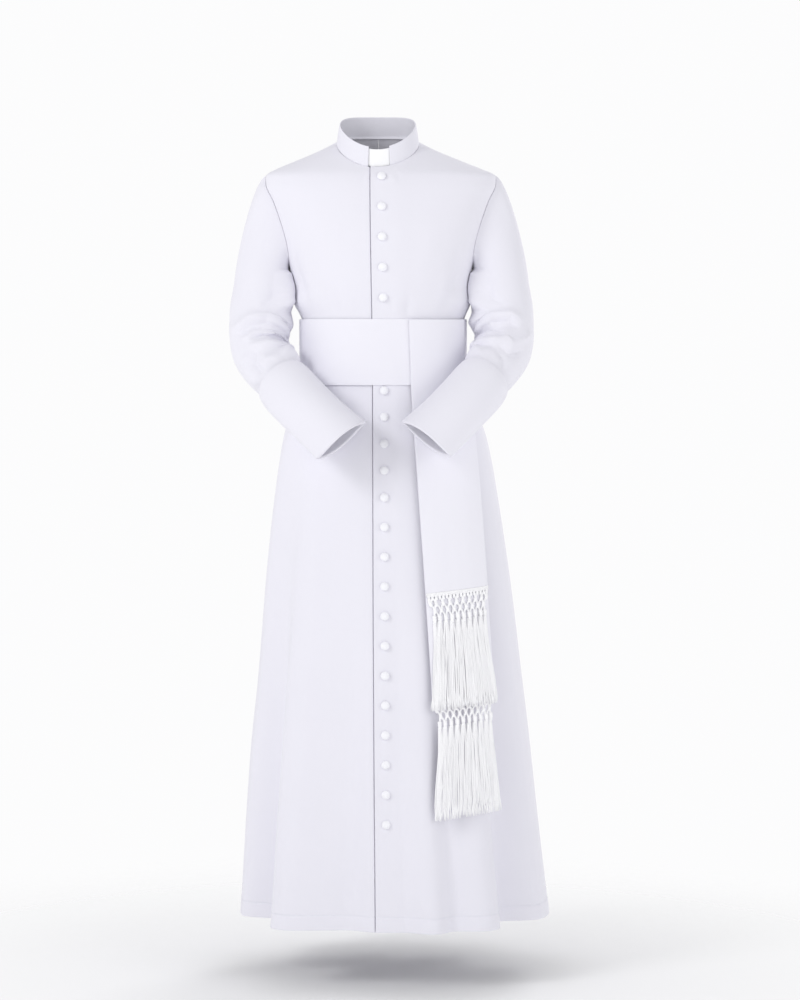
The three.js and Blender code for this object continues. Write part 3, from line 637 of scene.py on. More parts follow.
def flat_layout(points: Array, wraps: bool = False) -> Array:
    """Layout of a grid on the flat cloth, measured along its rows and columns.

    Args:
        points: Grid of points.
        wraps: Whether the columns close on themselves.

    Returns:
        A grid of places in metres, with one column more when it wraps.
    """
    if wraps:
        points = np.concatenate([points, points[:, :1]], 1)
    across = row_reach(points)
    along = np.linalg.norm(np.diff(points, axis=0), axis=2).mean(1)
    along = np.concatenate([[0], np.cumsum(along)])
    return np.stack([across, np.broadcast_to(along[:, None], across.shape)], -1)


def wall_object(name: str, wall: Wall) -> Piece:
    """Object of a cloth wall."""
    vertex, place = wall.faces()
    points = np.concatenate([wall.outer.reshape(-1, 3), wall.inner.reshape(-1, 3)])
    return mesh_object(name, points, vertex, wall.layout.reshape(-1, 2)[place])


def edge_softness(rows: int, columns: int, sides: Edges) -> Array:
    """Share by which a wall thins at its edges, to round them.

    Args:
        rows: Rows of the grid.
        columns: Columns of the grid.
        sides: Whether the first row, last row, first column and last column are edges.

    Returns:
        A grid of shares, 1 on the edges and less beside them.
    """
    soft = np.zeros((rows, columns))
    for depth, share in ((1, 0.3), (0, 1.0)):
        for line, wanted in zip((soft[depth], soft[-1 - depth], soft[:, depth], soft[:, -1 - depth]), sides):
            if wanted:
                np.maximum(line, share, out=line)
    return soft


def soft_wall(outer: Array, normals: Array, thickness: float, sides: Edges, wraps: bool = False) -> Wall:
    """Wall of even thickness with rounded edges.

    Args:
        outer: Grid of the outer face.
        normals: Outward unit vectors of the grid.
        thickness: Thickness of the cloth.
        sides: Edges to round, as in edge_softness.
        wraps: Whether the columns close on themselves.

    Returns:
        The wall.
    """
    rounding = EDGE_ROUNDING * thickness * edge_softness(*outer.shape[:2], sides)[..., None]
    inner = outer - normals * (thickness - rounding)
    return Wall(outer - normals * rounding, inner, flat_layout(outer, wraps), wraps)


def tube_normals(grid: Array) -> Array:
    """Unit vectors away from the middle of a grid whose columns close on themselves."""
    round_way = np.roll(grid, -1, 1) - np.roll(grid, 1, 1)
    down_way = np.gradient(grid, axis=0)
    normal = unit(np.cross(down_way, round_way))
    away = grid - grid.mean(1, keepdims=True)
    facing = np.sign(np.einsum("ijk,ijk->ij", normal, away))
    return normal * facing[..., None]


class Value:
    """A shader value that adds Math nodes when it is used in arithmetic."""

    def __init__(self, graph: "NodeGraph", link: Socket) -> None:
        """Args:
            graph: Graph that the value belongs to.
            link: Output socket that carries it.
        """
        self.graph = graph
        self.link = link

    def _math(self, operation: str, first: "Value | float", second: "Value | float") -> "Value":
        """Value of a two-input Math node."""
        node = self.graph.node("ShaderNodeMath", {"operation": operation}, {0: first, 1: second})
        return Value(self.graph, node.outputs[0])

    def __add__(self, other: "Value | float") -> "Value":
        """Sum."""
        return self._math("ADD", self, other)

    def __rsub__(self, other: "Value | float") -> "Value":
        """Difference from a number."""
        return self._math("SUBTRACT", other, self)

    def __mul__(self, other: "Value | float") -> "Value":
        """Product."""
        return self._math("MULTIPLY", self, other)

    def wave(self) -> "Value":
        """Sine of the value."""
        return self._math("SINE", self, 0.0)

    def to_power(self, power: float) -> "Value":
        """The value raised to a power."""
        return self._math("POWER", self, power)


class NodeGraph:
    """Node tree of a material or a world, round its shader."""

    def __init__(self, owner: bpy.types.Material | bpy.types.World, shader: str = "Principled BSDF") -> None:
        """Args:
            owner: The new material or world.
            shader: Name of its shader node.
        """
        self.owner = owner
        self.owner.use_nodes = True
        self.tree = owner.node_tree
        self.shader = self.tree.nodes[shader]

    def node(
        self, kind: str, settings: dict[str, object] | None = None, inputs: Sockets | None = None
    ) -> bpy.types.Node:
        """Adds a node.

        Args:
            kind: Type of the node.
            settings: Settings to make first.
            inputs: Values or links of its sockets, by name or number.

        Returns:
            The node.
        """
        node = self.tree.nodes.new(kind)
        for name, value in (settings or {}).items():
            setattr(node, name, value)
        for name, value in (inputs or {}).items():
            self.feed(node.inputs[name], value)
        return node

    def feed(self, socket: Socket, value: object) -> None:
        """Links a value to a socket, or sets the socket to it."""
        if isinstance(value, Value):
            value = value.link
        if isinstance(value, Socket):
            self.tree.links.new(value, socket)
        else:
            socket.default_value = value

    def layout(self) -> tuple[Value, Value]:
        """Places across and along the flat cloth, in metres."""
        uv = self.node("ShaderNodeUVMap", {"uv_map": UV_LAYER})
        across, along, _ = self.parts(uv.outputs[0])
        return across, along

    def parts(self, vector: Socket) -> list[Value]:
        """The three numbers of a vector."""
        split = self.node("ShaderNodeSeparateXYZ", None, {0: vector})
        return [Value(self, output) for output in split.outputs]

    def rise(self, value: Value, low: float, high: float) -> Value:
        """Smooth rise from 0 at low to 1 at high."""
        inputs = {"Value": value, "From Min": low, "From Max": high}
        node = self.node("ShaderNodeMapRange", {"interpolation_type": "SMOOTHSTEP"}, inputs)
        return Value(self, node.outputs[0])

    def noise(self, scale: float, detail: float = 2, stretch: Triple = (1, 1, 1)) -> Value:
        """Noise over the object's own place.

        Args:
            scale: Cells to a metre.
            detail: Finer layers of the noise.
            stretch: Factors on X, Y and Z.

        Returns:
            The noise, from 0 to 1.
        """
        place = self.node("ShaderNodeTexCoord").outputs["Object"]
        scaled = self.node("ShaderNodeVectorMath", {"operation": "MULTIPLY"}, {0: place, 1: stretch})
        noise = self.node(
            "ShaderNodeTexNoise", None, {"Vector": scaled.outputs[0], "Scale": scale, "Detail": detail}
        )
        return Value(self, noise.outputs[0])

    def blend(self, factor: Value, low: Triple, high: Triple) -> Socket:
        """Colour between two colours."""
        mix = self.node("ShaderNodeMix", {"data_type": "RGBA"}, {"Factor": factor})
        colours = [socket for socket in mix.inputs if socket.type == "RGBA"]
        colours[0].default_value = (*low, 1)
        colours[1].default_value = (*high, 1)
        return next(socket for socket in mix.outputs if socket.type == "RGBA")

    def bump(self, height: Value, distance: float, below: Socket | None = None) -> Socket:
        """Normal of a bumped surface.

        Args:
            height: Height from 0 to 1.
            distance: Real height of 1, in metres.
            below: Normal of the bump beneath.

        Returns:
            The normal.
        """
        inputs: Sockets = {"Height": height, "Distance": distance, "Strength": 1.0}
        if below is not None:
            inputs["Normal"] = below
        return self.node("ShaderNodeBump", None, inputs).outputs[0]

    def finish(
        self, varying: dict[str, object], fixed: dict[str, float | tuple[float, ...]]
    ) -> bpy.types.Material | bpy.types.World:
        """Feeds the shader.

        Args:
            varying: Links of the shader's sockets.
            fixed: Numbers and colours set on its sockets.

        Returns:
            The material or world.
        """
        for name, value in {**fixed, **varying}.items():
            self.feed(self.shader.inputs[name], value)
        return self.owner


Pattern = tuple[Value, Value, Socket]


@dataclass(frozen=True)
class Finish:
    """A finish between two tones, with its roughness and its other settings."""

    name: str
    pale: Triple
    shade: Triple
    rough: float
    rough_span: float
    settings: dict[str, float]
    relief: float
    fuzz: float = 0

    def pattern(self, graph: NodeGraph) -> Pattern:
        """Tone, wear and normal of the finish.

        Args:
            graph: Graph of the material.

        Returns:
            The tone from shade to pale, the wear that sets the roughness, and the normal.
        """
        raise NotImplementedError

    def material(self) -> bpy.types.Material:
        """Builds the material."""
        graph = NodeGraph(bpy.data.materials.new(self.name))
        tone, wear, normal = self.pattern(graph)
        return graph.finish(
            {
                "Base Color": graph.blend(tone, self.shade, self.pale),
                "Roughness": wear * self.rough_span + self.rough,
                "Normal": normal,
            },
            self.settings,
        )


class TwillCloth(Finish):
    """Fine matt twill with a soft nap."""

    TWILL = 1.3 * MM
    THREAD_TURNS = 2.1

    def pattern(self, graph: NodeGraph) -> Pattern:
        """Diagonal ribs and threads under a nap."""
        across, along = graph.layout()
        turn = 2 * math.pi / self.TWILL
        ribs = (across * turn + along * turn).wave() * 0.5 + 0.5
        threads = (along * (turn * self.THREAD_TURNS)).wave() * 0.25
        nap, tone, fine = graph.noise(420, 3), graph.noise(9, 3), graph.noise(160, 2)
        normal = graph.bump(nap, self.fuzz, graph.bump(ribs + threads, self.relief))
        return tone * 0.7 + fine * 0.3, fine, normal


class RibbedSilk(Finish):
    """Silk with fine ribs across its length."""

    RIB = 1.5 * MM

    def pattern(self, graph: NodeGraph) -> Pattern:
        """Ribs, slubs and a watered tone."""
        across, _ = graph.layout()
        ribs = (across * (2 * math.pi / self.RIB)).wave() * 0.5 + 0.5
        slub, water = graph.noise(60, 3, (1, 1, 0.12)), graph.noise(14, 4, (1, 1, 0.4))
        normal = graph.bump(slub, self.fuzz, graph.bump(ribs, self.relief))
        return water * 0.75 + slub * 0.25, water, normal


class TwistedThread(Finish):
    """Soft two-ply thread."""

    TWIST = 3.2 * MM

    def pattern(self, graph: NodeGraph) -> Pattern:
        """Turning strands with fuzz on them; the tone mixes a random tone with painted shade in the grooves
        between the strands.
        """
        around, along = graph.layout()
        ply_relief_and_shade = (around * (4 * math.pi) + along * (2 * math.pi / self.TWIST)).wave() * 0.5 + 0.5
        fuzz, tone = graph.noise(700, 2), graph.noise(45, 2)
        normal = graph.bump(fuzz, self.fuzz, graph.bump(ply_relief_and_shade, self.relief))
        # Painted shade: the tone is darker where the ply relief is low, in the grooves between the strands.
        return ply_relief_and_shade * 0.45 + tone * 0.55, fuzz, normal


class ButtonCover(Finish):
    """Close-woven cloth stretched over a dome."""

    THREAD = 0.9 * MM

    def pattern(self, graph: NodeGraph) -> Pattern:
        """Plain woven threads with a worn tone, and painted shade in the dips between them."""
        across, along = graph.layout()
        turn = 2 * math.pi / self.THREAD
        weave_relief_and_shade = (across * turn).wave() * (along * turn).wave() * 0.5 + 0.5
        tone = graph.noise(120, 2)
        # Painted shade: the tone is darker where the woven relief is low, in the dips between the threads.
        return tone * 0.6 + weave_relief_and_shade * 0.4, tone, graph.bump(weave_relief_and_shade, self.relief)


@dataclass(frozen=True)
class PlainGrain(Finish):
    """A smooth finish with a soft tone over a fine grain, both in cells to a metre."""

    tone_cells: float = 60
    tone_detail: float = 3
    grain_cells: float = 900

    def pattern(self, graph: NodeGraph) -> Pattern:
        """Soft tone over a fine grain."""
        tone = graph.noise(self.tone_cells, self.tone_detail)
        return tone, tone, graph.bump(graph.noise(self.grain_cells, 2), self.relief)


SEWING_THREAD = PlainGrain(
    "sewing_thread", (0.86, 0.86, 0.92), (0.72, 0.72, 0.8), 0.55, 0.1,
    {"Specular IOR Level": 0.4}, 0.05 * MM, tone_cells=300, tone_detail=2, grain_cells=2600,
)
SLOT_FINISHES = {
    Slot.CLOTH: TwillCloth(
        "cassock_cloth", (0.828, 0.82, 0.886), (0.8, 0.792, 0.86), 0.78, 0.12,
        {"Sheen Weight": 0.22, "Sheen Roughness": 0.45, "Specular IOR Level": 0.32}, 0.03 * MM, 0.08 * MM,
    ),
    Slot.TAB: PlainGrain(
        "stiff_tab", (0.97, 0.97, 0.98), (0.93, 0.93, 0.95), 0.34, 0.1,
        {"Specular IOR Level": 0.5}, 0.02 * MM,
    ),
    Slot.SASH: RibbedSilk(
        "sash_silk", (0.865, 0.858, 0.92), (0.835, 0.828, 0.895), 0.48, 0.16,
        {"Sheen Weight": 0.12, "Sheen Roughness": 0.35, "Specular IOR Level": 0.42}, 0.07 * MM, 0.05 * MM,
    ),
    # Fringe thread: its darker tone is partly painted shade in the grooves between the strands.
    Slot.FRINGE: TwistedThread(
        "fringe_thread", (0.99, 0.99, 1.0), (0.96, 0.958, 0.985), 0.5, 0.15,
        {"Sheen Weight": 0.35, "Sheen Roughness": 0.4, "Specular IOR Level": 0.4}, 0.22 * MM, 0.12 * MM,
    ),
    # Button cover: its darker tone is partly painted shade in the dips between the woven threads.
    Slot.BUTTON: ButtonCover(
        "button_cover", (0.93, 0.93, 0.965), (0.88, 0.88, 0.93), 0.5, 0.14,
        {"Sheen Weight": 0.15, "Sheen Roughness": 0.4, "Specular IOR Level": 0.45}, 0.05 * MM,
    ),
}


@dataclass(frozen=True)
class PaleFloor:
    """Matt studio floor that fades into the white round it."""

    colour: Triple = (0.985, 0.985, 0.99)
    fade: Pair = (0.2, 1.4)
    dark_share: float = 0.985

    def material(self) -> bpy.types.Material:
        """Builds the material."""
        graph = NodeGraph(bpy.data.materials.new("studio_floor"))
        x, y, _ = graph.parts(graph.node("ShaderNodeTexCoord").outputs["Object"])
        reach = (x * x + y * y).to_power(0.5)
        tone = graph.noise(0.6, 2)
        darker = tuple(self.dark_share * part for part in self.colour)
        return graph.finish(
            {
                "Base Color": graph.blend(tone, darker, self.colour),
                "Roughness": tone * 0.05 + 0.85,
                "Alpha": 1 - graph.rise(reach, *self.fade),
            },
            {"Specular IOR Level": 0.1},
        )


@dataclass(frozen=True)
class StudioAir:
    """White surroundings, dimmer overhead."""

    white: Triple = (0.975, 0.975, 0.98)
    overhead: Triple = (0.6, 0.6, 0.61)
    rise: Pair = (0.14, 0.5)

    def world(self) -> bpy.types.World:
        """Builds the world."""
        graph = NodeGraph(bpy.data.worlds.new("studio_air"), "Background")
        _, _, height = graph.parts(graph.node("ShaderNodeTexCoord").outputs["Generated"])
        colour = graph.blend(graph.rise(height, *self.rise), self.white, self.overhead)
        return graph.finish({"Color": colour}, {"Strength": 1.0})


FINISHES: dict[Slot, bpy.types.Material] = {}


def dress(
    piece: Piece, slot: Slot, nodes: Sequence[str] = (), material: bpy.types.Material | None = None
) -> Piece:
    """Gives a piece its finish and its body, and hides the nodes that it stands for.

    Args:
        piece: The piece.
        slot: Slot of the record.
        nodes: Nodes that it replaces.
        material: Finish, where it isn't the slot's own.

    Returns:
        The piece.
    """
    piece.data.materials.append(material or FINISHES[slot])
    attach(piece, "root")
    if nodes:
        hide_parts(*nodes)
    LOG.info("%s: %d faces", piece.name, len(piece.data.polygons))
    return piece


@dataclass
class BodyPanels:
    """The two fronts and two backs of the cassock."""

    form: BodyForm
    lap_step: float = 2.4 * MM
    front_columns: int = 60
    back_columns: int = 76
    yoke_rows: int = 46
    row_step: float = 6.5 * MM
    seam_dip: float = 0.25 * MM
    seam_reach: float = 2.2 * MM
    hem_rise: float = 0.5 * MM
    groove: float = 0.55 * MM
    groove_reach: float = 1.5 * MM
    slit: float = 2.4 * MM
    slit_from: Pair = (-2 * MM, -0.9 * MM)
    slit_to: Pair = (2 * MM, 7 * MM)
    edge_lift: float = 0.8 * MM
    lift_reach: float = 9 * MM
    hem_radius: float = 0.26
    pucker_pitch: float = 13 * MM
    pucker_drift: float = 31
    pieces: dict[str, Piece] = field(default_factory=dict)

    def rows(self) -> Array:
        """Places down the body of all rows, closer at the hem's stitch line and edge."""
        yoke = np.linspace(0, 1, self.yoke_rows)[:-1]
        levels = np.arange(CHEST, HEM_STITCH + 8 * MM, -self.row_step)
        stitch = HEM_STITCH + np.array([5, 3, 1.6, 0.7, 0, -0.7, -1.6, -3, -6]) * MM
        hem = np.linspace(HEM_STITCH - 10 * MM, HEM + 3.4 * MM, 4)
        edge = HEM + np.array([1.6, 0.7, 0]) * MM
        z = np.concatenate([levels, stitch, hem, edge])
        return np.concatenate([yoke, below_chest(z)])

    def seam_shares(self, count: int, near_start: bool) -> Array:
        """Shares of a panel's width, closer at its seams."""
        fine = np.array([0.002, 0.005, 0.010])
        middle = np.linspace(0, 1, count)[1:-1]
        start = fine if near_start else np.array([])
        return np.concatenate([[0], start, middle, 1 - fine[::-1], [1]])

    def front_angles(self, side: Side, down: Array) -> Array:
        """Angles of a front panel's columns.

        Args:
            side: Side of the panel.
            down: Places of its rows.

        Returns:
            A grid of angles in radians.
        """
        level = self.form.cloth(np.zeros_like(down), down)[..., 2]
        line = self.form.button_x(level)
        edge = np.array([0, 0.6, 1.4, 2.4]) * MM
        flat = np.arange(-OVERLAP + 4.6 * MM, UNDERLAP - 4 * MM, self.lap_step)
        laps = np.concatenate([-OVERLAP + edge, flat, UNDERLAP - edge[::-1]])
        if side is Side.LEFT:
            laps = np.concatenate([laps, UNDERLAP + np.linspace(0.1, 1, 12) * (LAP_REST + LAP_RAMP)])
        else:
            beside = -OVERLAP - np.array([4.5, 2.8, 2.0, 1.5, 1.0, 0.5]) * MM
            laps = np.concatenate([beside, laps])[::-1]
        near = self.form.angle_at_x(line[:, None] + laps, down[:, None])
        end = side.value * self.form.side_angle(down, "front")
        start = near[:, -1]
        shares = self.seam_shares(self.front_columns, False)[1:]
        return np.concatenate([near, start[:, None] + (end - start)[:, None] * shares], 1)

    def back_angles(self, side: Side, down: Array) -> Array:
        """Angles of a back panel's columns, from the side seam to the centre back."""
        start = self.form.side_angle(down, "back")
        shares = self.seam_shares(self.back_columns, True)
        return side.value * (start[:, None] + (BACK - start)[:, None] * shares)

    def lap_rise(self, x: Array, z: Array) -> Array:
        """How far the over front stands off the body line."""
        line = self.form.button_x(z)
        start = line + UNDERLAP + LAP_REST
        lift = self.edge_lift * (1 - smoothstep(x, line - OVERLAP, line - OVERLAP + self.lift_reach))
        rest = (CLOTH + SEAM) * (1 - smoothstep(x, start, start + LAP_RAMP))
        return rest + lift * (1 - self.form.sash_cover(z))

    def under_slit(self, x: Array, z: Array) -> Array:
        """Dip of the under front beside the over front's edge, which shows as a fine line."""
        beside = x - self.form.button_x(z) + OVERLAP
        return -self.slit * smoothstep(beside, *self.slit_from) * (1 - smoothstep(beside, *self.slit_to))

    def hem_relief(self, points: Array) -> Array:
        """Turned hem: a sewn groove with small puckers over a double layer."""
        z = points[..., 2]
        run = np.arctan2(points[..., 0], -points[..., 1]) * self.hem_radius
        wave = run / self.pucker_pitch * 2 * np.pi + 2 * np.sin(run * self.pucker_drift)
        pucker = 0.35 + 0.65 * (0.5 + 0.5 * np.sin(wave))
        groove = -self.groove * pucker * bell(z - HEM_STITCH, self.groove_reach)
        double = self.hem_rise * smoothstep(-z, -(HEM_STITCH - 1 * MM), -(HEM_STITCH - 4 * MM))
        return groove + double

    def seam_relief(self, points: Array, first: bool) -> Array:
        """Dip of the cloth into the seams at the last column, and at the first if asked."""
        reach = row_reach(points)
        dip = bell(reach[:, -1:] - reach, self.seam_reach)
        if first:
            dip = dip + bell(reach, self.seam_reach)
        return -self.seam_dip * dip

    def panel(self, name: str, side: Side, front: bool) -> Piece:
        """Builds one panel.

        Args:
            name: Name of the piece and of its node.
            side: Side of the panel.
            front: Whether it is a front.

        Returns:
            The piece.
        """
        down = self.rows()
        angle = self.front_angles(side, down) if front else self.back_angles(side, down)
        points = self.form.cloth(angle, down[:, None])
        normals = self.form.normal(angle, down[:, None])
        z = points[..., 2]
        rise = self.form.relief(angle, z) + self.hem_relief(points) + self.seam_relief(points, not front)
        if front and side is Side.LEFT:
            rise = rise + self.lap_rise(points[..., 0], z)
        elif front:
            rise = rise + self.under_slit(points[..., 0], z)
        points = points + normals * rise[..., None]
        if front:
            points[:, -1, 1] -= SEAM / 2
        else:
            points[:, 0, 1] += SEAM / 2
            points[:, -1, 0] += side.value * SEAM / 2
        wall = soft_wall(points, normals, CLOTH, (False, True, front, True))
        piece = wall_object(f"{name}_cloth", wall)
        self.pieces[name] = dress(piece, Slot.CLOTH, [name])
        return piece

    def build(self) -> None:
        """Builds the four panels."""
        for side, word in ((Side.RIGHT, "right"), (Side.LEFT, "left")):
            self.panel(f"front_{word}", side, True)
            self.panel(f"back_{word}", side, False)


class SleeveStop(NamedTuple):
    """A point of a sleeve's middle line, in millimetres."""

    x: float
    y: float
    z: float


SLEEVE_PATHS = {
    Side.RIGHT: rows_of(
        SleeveStop,
        (-225, -5, -262), (-229, -22, -320), (-224, -50, -385),
        (-183, -108, -444), (-129, -164, -499), (-71, -203, -550),
    ),
    Side.LEFT: rows_of(
        SleeveStop,
        (227, -5, -262), (231, -24, -320), (228, -54, -382),
        (193, -114, -438), (140, -170, -495), (84, -209, -547),
    ),
}


class SleeveSection(NamedTuple):
    """Half sizes of a sleeve, in millimetres, at a part of its free length."""

    part: float
    across: float
    deep: float


SLEEVE_SECTIONS = rows_of(
    SleeveSection,
    (0, 53, 61), (0.15, 57, 59), (0.33, 56, 57), (0.44, 51, 55),
    (0.54, 48, 52), (0.8, 53, 48), (1, 58, 43),
)


class ElbowCrease(NamedTuple):
    """A main crease inside the elbow: part of the length, place round, and its sizes in mm."""

    part: float
    angle: float
    spread: float
    slant: float
    width: float
    depth: float


ELBOW_CREASES = rows_of(
    ElbowCrease,
    (0.2, 140, 75, 9, 15, -6), (0.28, 135, 85, 3, 14, -8),
    (0.36, 130, 85, -4, 14, -8), (0.44, 125, 75, -9, 15, -6),
)


class PlacedFold(NamedTuple):
    """A fold of a sleeve by the X and Z of its line, in mm: a ridge, or a trough below zero.

    facing is -1 on the front of the sleeve and 1 on its back.
    """

    facing: int
    width: float
    depth: float
    line: tuple[tuple[float, float], ...]


SLEEVE_FOLDS = {
    Side.RIGHT: rows_of(
        PlacedFold,
        (-1, 9, 6.5, ((-290, -356), (-266, -338), (-245, -322), (-213, -317), (-184, -330), (-160, -352))),
        (-1, 7, -5.5, ((-276, -362), (-248, -341), (-216, -333), (-190, -342), (-172, -356))),
        (-1, 6, 3.5, ((-262, -368), (-236, -349), (-208, -343), (-186, -352))),
        (-1, 5.5, -9.5, ((-152, -377), (-172, -367), (-193, -358), (-220, -353), (-252, -362))),
        (-1, 7, 5, ((-166, -384), (-184, -374), (-214, -368), (-254, -378))),
        (-1, 15, 8, ((-184, -376), (-167, -386), (-154, -398), (-148, -416))),
        (-1, 8, -6.5, ((-216, -372), (-233, -388), (-236, -410), (-218, -428), (-188, -430), (-160, -412))),
        (-1, 9, 4, ((-246, -384), (-256, -408), (-240, -440), (-206, -452))),
        (-1, 8, 3.5, ((-222, -400), (-200, -398), (-178, -404))),
        (-1, 8, -3, ((-192, -268), (-206, -290), (-226, -302))),
        (1, 9, -4.5, ((-268, -330), (-232, -320), (-192, -334))),
        (1, 8, 3.8, ((-276, -352), (-236, -342), (-190, -352))),
        (1, 8, -4.2, ((-266, -392), (-230, -408), (-192, -398))),
    ),
    Side.LEFT: rows_of(
        PlacedFold,
        (-1, 9, 6.5, ((158, -344), (181, -327), (204, -317), (242, -315), (274, -334))),
        (-1, 6.5, -5.5, ((174, -348), (204, -332), (240, -330), (262, -344))),
        (-1, 5.5, -9, ((150, -368), (177, -357), (197, -349), (236, -345))),
        (-1, 7, 5, ((168, -378), (188, -367), (216, -361), (250, -366))),
        (-1, 15, 7, ((184, -370), (170, -381), (159, -394), (154, -412))),
        (-1, 8, 5.5, ((222, -350), (246, -371), (268, -362), (288, -346))),
        (-1, 7, -5.5, ((216, -370), (243, -391), (270, -384))),
        (-1, 8, -5.5, ((210, -376), (230, -398), (222, -424), (192, -430), (166, -410))),
        (-1, 8, -3, ((194, -266), (208, -286), (230, -298))),
        (1, 9, -4.2, ((272, -334), (234, -322), (194, -330))),
        (1, 8, 3.8, ((278, -350), (240, -340), (196, -350))),
        (1, 8, -4, ((268, -388), (236, -404), (196, -396))),
    ),
}
FOLD_GROWN, FOLD_ENDING = 0.22, 0.74  # parts of a fold's line where it is full
FOLD_FACING = (-0.3, 0.25)
FOLD_POWER = 1.6


def fold_relief(folds: Sequence[PlacedFold], points: Array, normals: Array) -> Array:
    """Height that placed folds give a sleeve.

    Args:
        folds: The folds.
        points: Grid of points on the sleeve.
        normals: Its outward unit vectors.

    Returns:
        The height of each point in metres.
    """
    x, z = points[..., 0] / MM, points[..., 2] / MM
    height = np.zeros(x.shape)
    for fold in folds:
        stops = np.array(fold.line, float)
        steps = np.linalg.norm(np.diff(stops, axis=0), axis=1)
        reach = np.concatenate([[0], np.cumsum(steps)]) / steps.sum()
        nearest, place = np.full(x.shape, np.inf), np.zeros(x.shape)
        for start, end, first, last in zip(stops, stops[1:], reach, reach[1:]):
            way = end - start
            share = np.clip(((x - start[0]) * way[0] + (z - start[1]) * way[1]) / (way @ way), 0, 1)
            away = np.hypot(x - start[0] - share * way[0], z - start[1] - share * way[1])
            closer = away < nearest
            nearest = np.where(closer, away, nearest)
            place = np.where(closer, first + share * (last - first), place)
        taper = smoothstep(place, 0, FOLD_GROWN) * (1 - smoothstep(place, FOLD_ENDING, 1))
        seen = smoothstep(fold.facing * normals[..., 1], *FOLD_FACING)
        height = height + fold.depth * taper * seen * np.exp(-((nearest / fold.width) ** FOLD_POWER))
    return height * MM


@dataclass
class Sleeves:
    """Both sleeves and their turned-back cuffs."""

    HIDDEN_RINGS = ((2.6, 1), (2.3, 0.4), (0.9, 0.05))  # depth in mm, share of the seam allowance
    form: BodyForm
    columns: int = 144
    head_rows: int = 34
    arm_rows: int = 166
    cuff_rows: int = 60
    cuff_part: float = 0.56
    fold_reach: float = 2.4 * MM
    cuff_return: float = 14 * MM
    cuff_stand: float = 4.2 * MM
    stand_until: float = 0.75
    mouth_round: float = 0.9
    mouth_back: float = 2.2 * MM
    mouth_tilt: float = 13 * MM
    cuff_neck: float = 2.5 * MM
    mouth_lens: float = 0.5
    neck_before: float = 0.012
    neck_reach: float = 0.035
    smooth_before: float = 0.055
    body_bulge: float = 5.5 * MM
    bulge_level: float = -334 * MM
    bulge_reach: float = 22 * MM
    bulge_facing: Pair = (0.3, 0.9)
    rest_gap: float = 0.9 * MM
    rest_facing: Pair = (0.4, 0.88)
    rest_from: Pair = (230 * MM, 240 * MM)
    rest_to: Pair = (290 * MM, 315 * MM)
    allowance: float = 6 * MM
    head_pull: tuple[float, float, float, float, float] = (70, 30, 8, 200, 26)

    def loop(self, side: Side, turn: Array) -> Array:
        """Points of the armhole's edge: shoulder, front, underarm, back."""
        half = len(ARMHOLE_STOPS) - 1
        place = turn / np.pi * half
        front = place <= half
        place = np.where(front, place, 2 * half - place)
        down = np.interp(place, np.arange(half + 1), ARMHOLE_STOPS)
        angle = np.where(front, self.form.side_angle(down, "front"), self.form.side_angle(down, "back"))
        return self.form.cloth(side.value * angle, down)

    def frames(self, side: Side, steps: int = 800) -> tuple[Array, ...]:
        """Middle points and directions along a sleeve.

        Args:
            side: Side of the sleeve.
            steps: Number of steps along it.

        Returns:
            Middles, directions along, outward and forward, and the length.
        """
        path = np.array(SLEEVE_PATHS[side], float) * MM
        ghost = np.concatenate([[2 * path[0] - path[1]], path, [2 * path[-1] - path[-2]]])
        curve = [self.bent_span(ghost[i:i + 4]) for i in range(len(path) - 1)]
        line = np.concatenate([*[span[:-1] for span in curve], path[-1:]])
        reach = path_reach(line)
        middle = at_reach(np.linspace(0, reach[-1], steps + 1), reach, line)
        along = unit(np.gradient(middle, axis=0))
        kernel = np.ones(9) / 9
        padded = np.pad(along, ((4, 4), (0, 0)), mode="edge")
        along = unit(np.stack([np.convolve(padded[:, i], kernel, "valid") for i in range(3)], 1))
        outward = np.zeros_like(along)
        last = np.array([side.value, 0.0, 0.0])
        for i, way in enumerate(along):
            last = last - way * (last @ way)
            last = last / np.linalg.norm(last)
            outward[i] = last
        forward = np.cross(outward, along) * -side.value
        return middle, along, outward, forward, reach[-1]

    @staticmethod
    def bent_span(points: Array) -> Array:
        """Centripetal curve from the second of four points to the third."""
        steps = [np.linalg.norm(b - a) ** 0.5 for a, b in zip(points, points[1:])]
        knots = np.concatenate([[0], np.cumsum(steps)])
        t = np.linspace(knots[1], knots[2], 60)[:, None]
        for spans in ([(0, 1), (1, 2), (2, 3)], [(0, 2), (1, 3)], [(1, 2)]):
            points = [
                (knots[j] - t) / (knots[j] - knots[i]) * a + (t - knots[i]) / (knots[j] - knots[i]) * b
                for (i, j), a, b in zip(spans, points, points[1:])
            ]
        return points[0]

    def crease_depth(self, part: Array, turn: Array, length: float) -> Array:
        """How far the main elbow creases move the wall, in metres."""
        depth = np.zeros(np.broadcast(part, turn).shape)
        for crease in ELBOW_CREASES:
            away = (np.degrees(turn) - crease.angle) / crease.spread
            offset = ((part - crease.part) * length / MM - crease.slant * away * 2) / crease.width
            cup = np.where(np.abs(away) < 1, np.cos(np.clip(away, -1, 1) * np.pi / 2) ** 2, 0)
            depth = depth + crease.depth * cup * np.exp(-2 * offset**2)
        return depth * MM

    def grid(self, side: Side, parts: Array) -> Array:
        """Outer face of a sleeve, from the armhole to the mouth.

        Args:
            side: Side of the sleeve.
            parts: Parts of the free length at which it has rings.

        Returns:
            A grid of points.
        """
        middle, along, outward, forward, length = self.frames(side)
        turn = np.linspace(0, 2 * np.pi, self.columns, endpoint=False)
        table = SmoothTable(SLEEVE_SECTIONS, "part")
        step = parts * (len(middle) - 1)

        def at(values: Array) -> Array:
            low = np.minimum(step.astype(int), len(values) - 2)
            share = (step - low)[:, None]
            return values[low] * (1 - share) + values[low + 1] * share

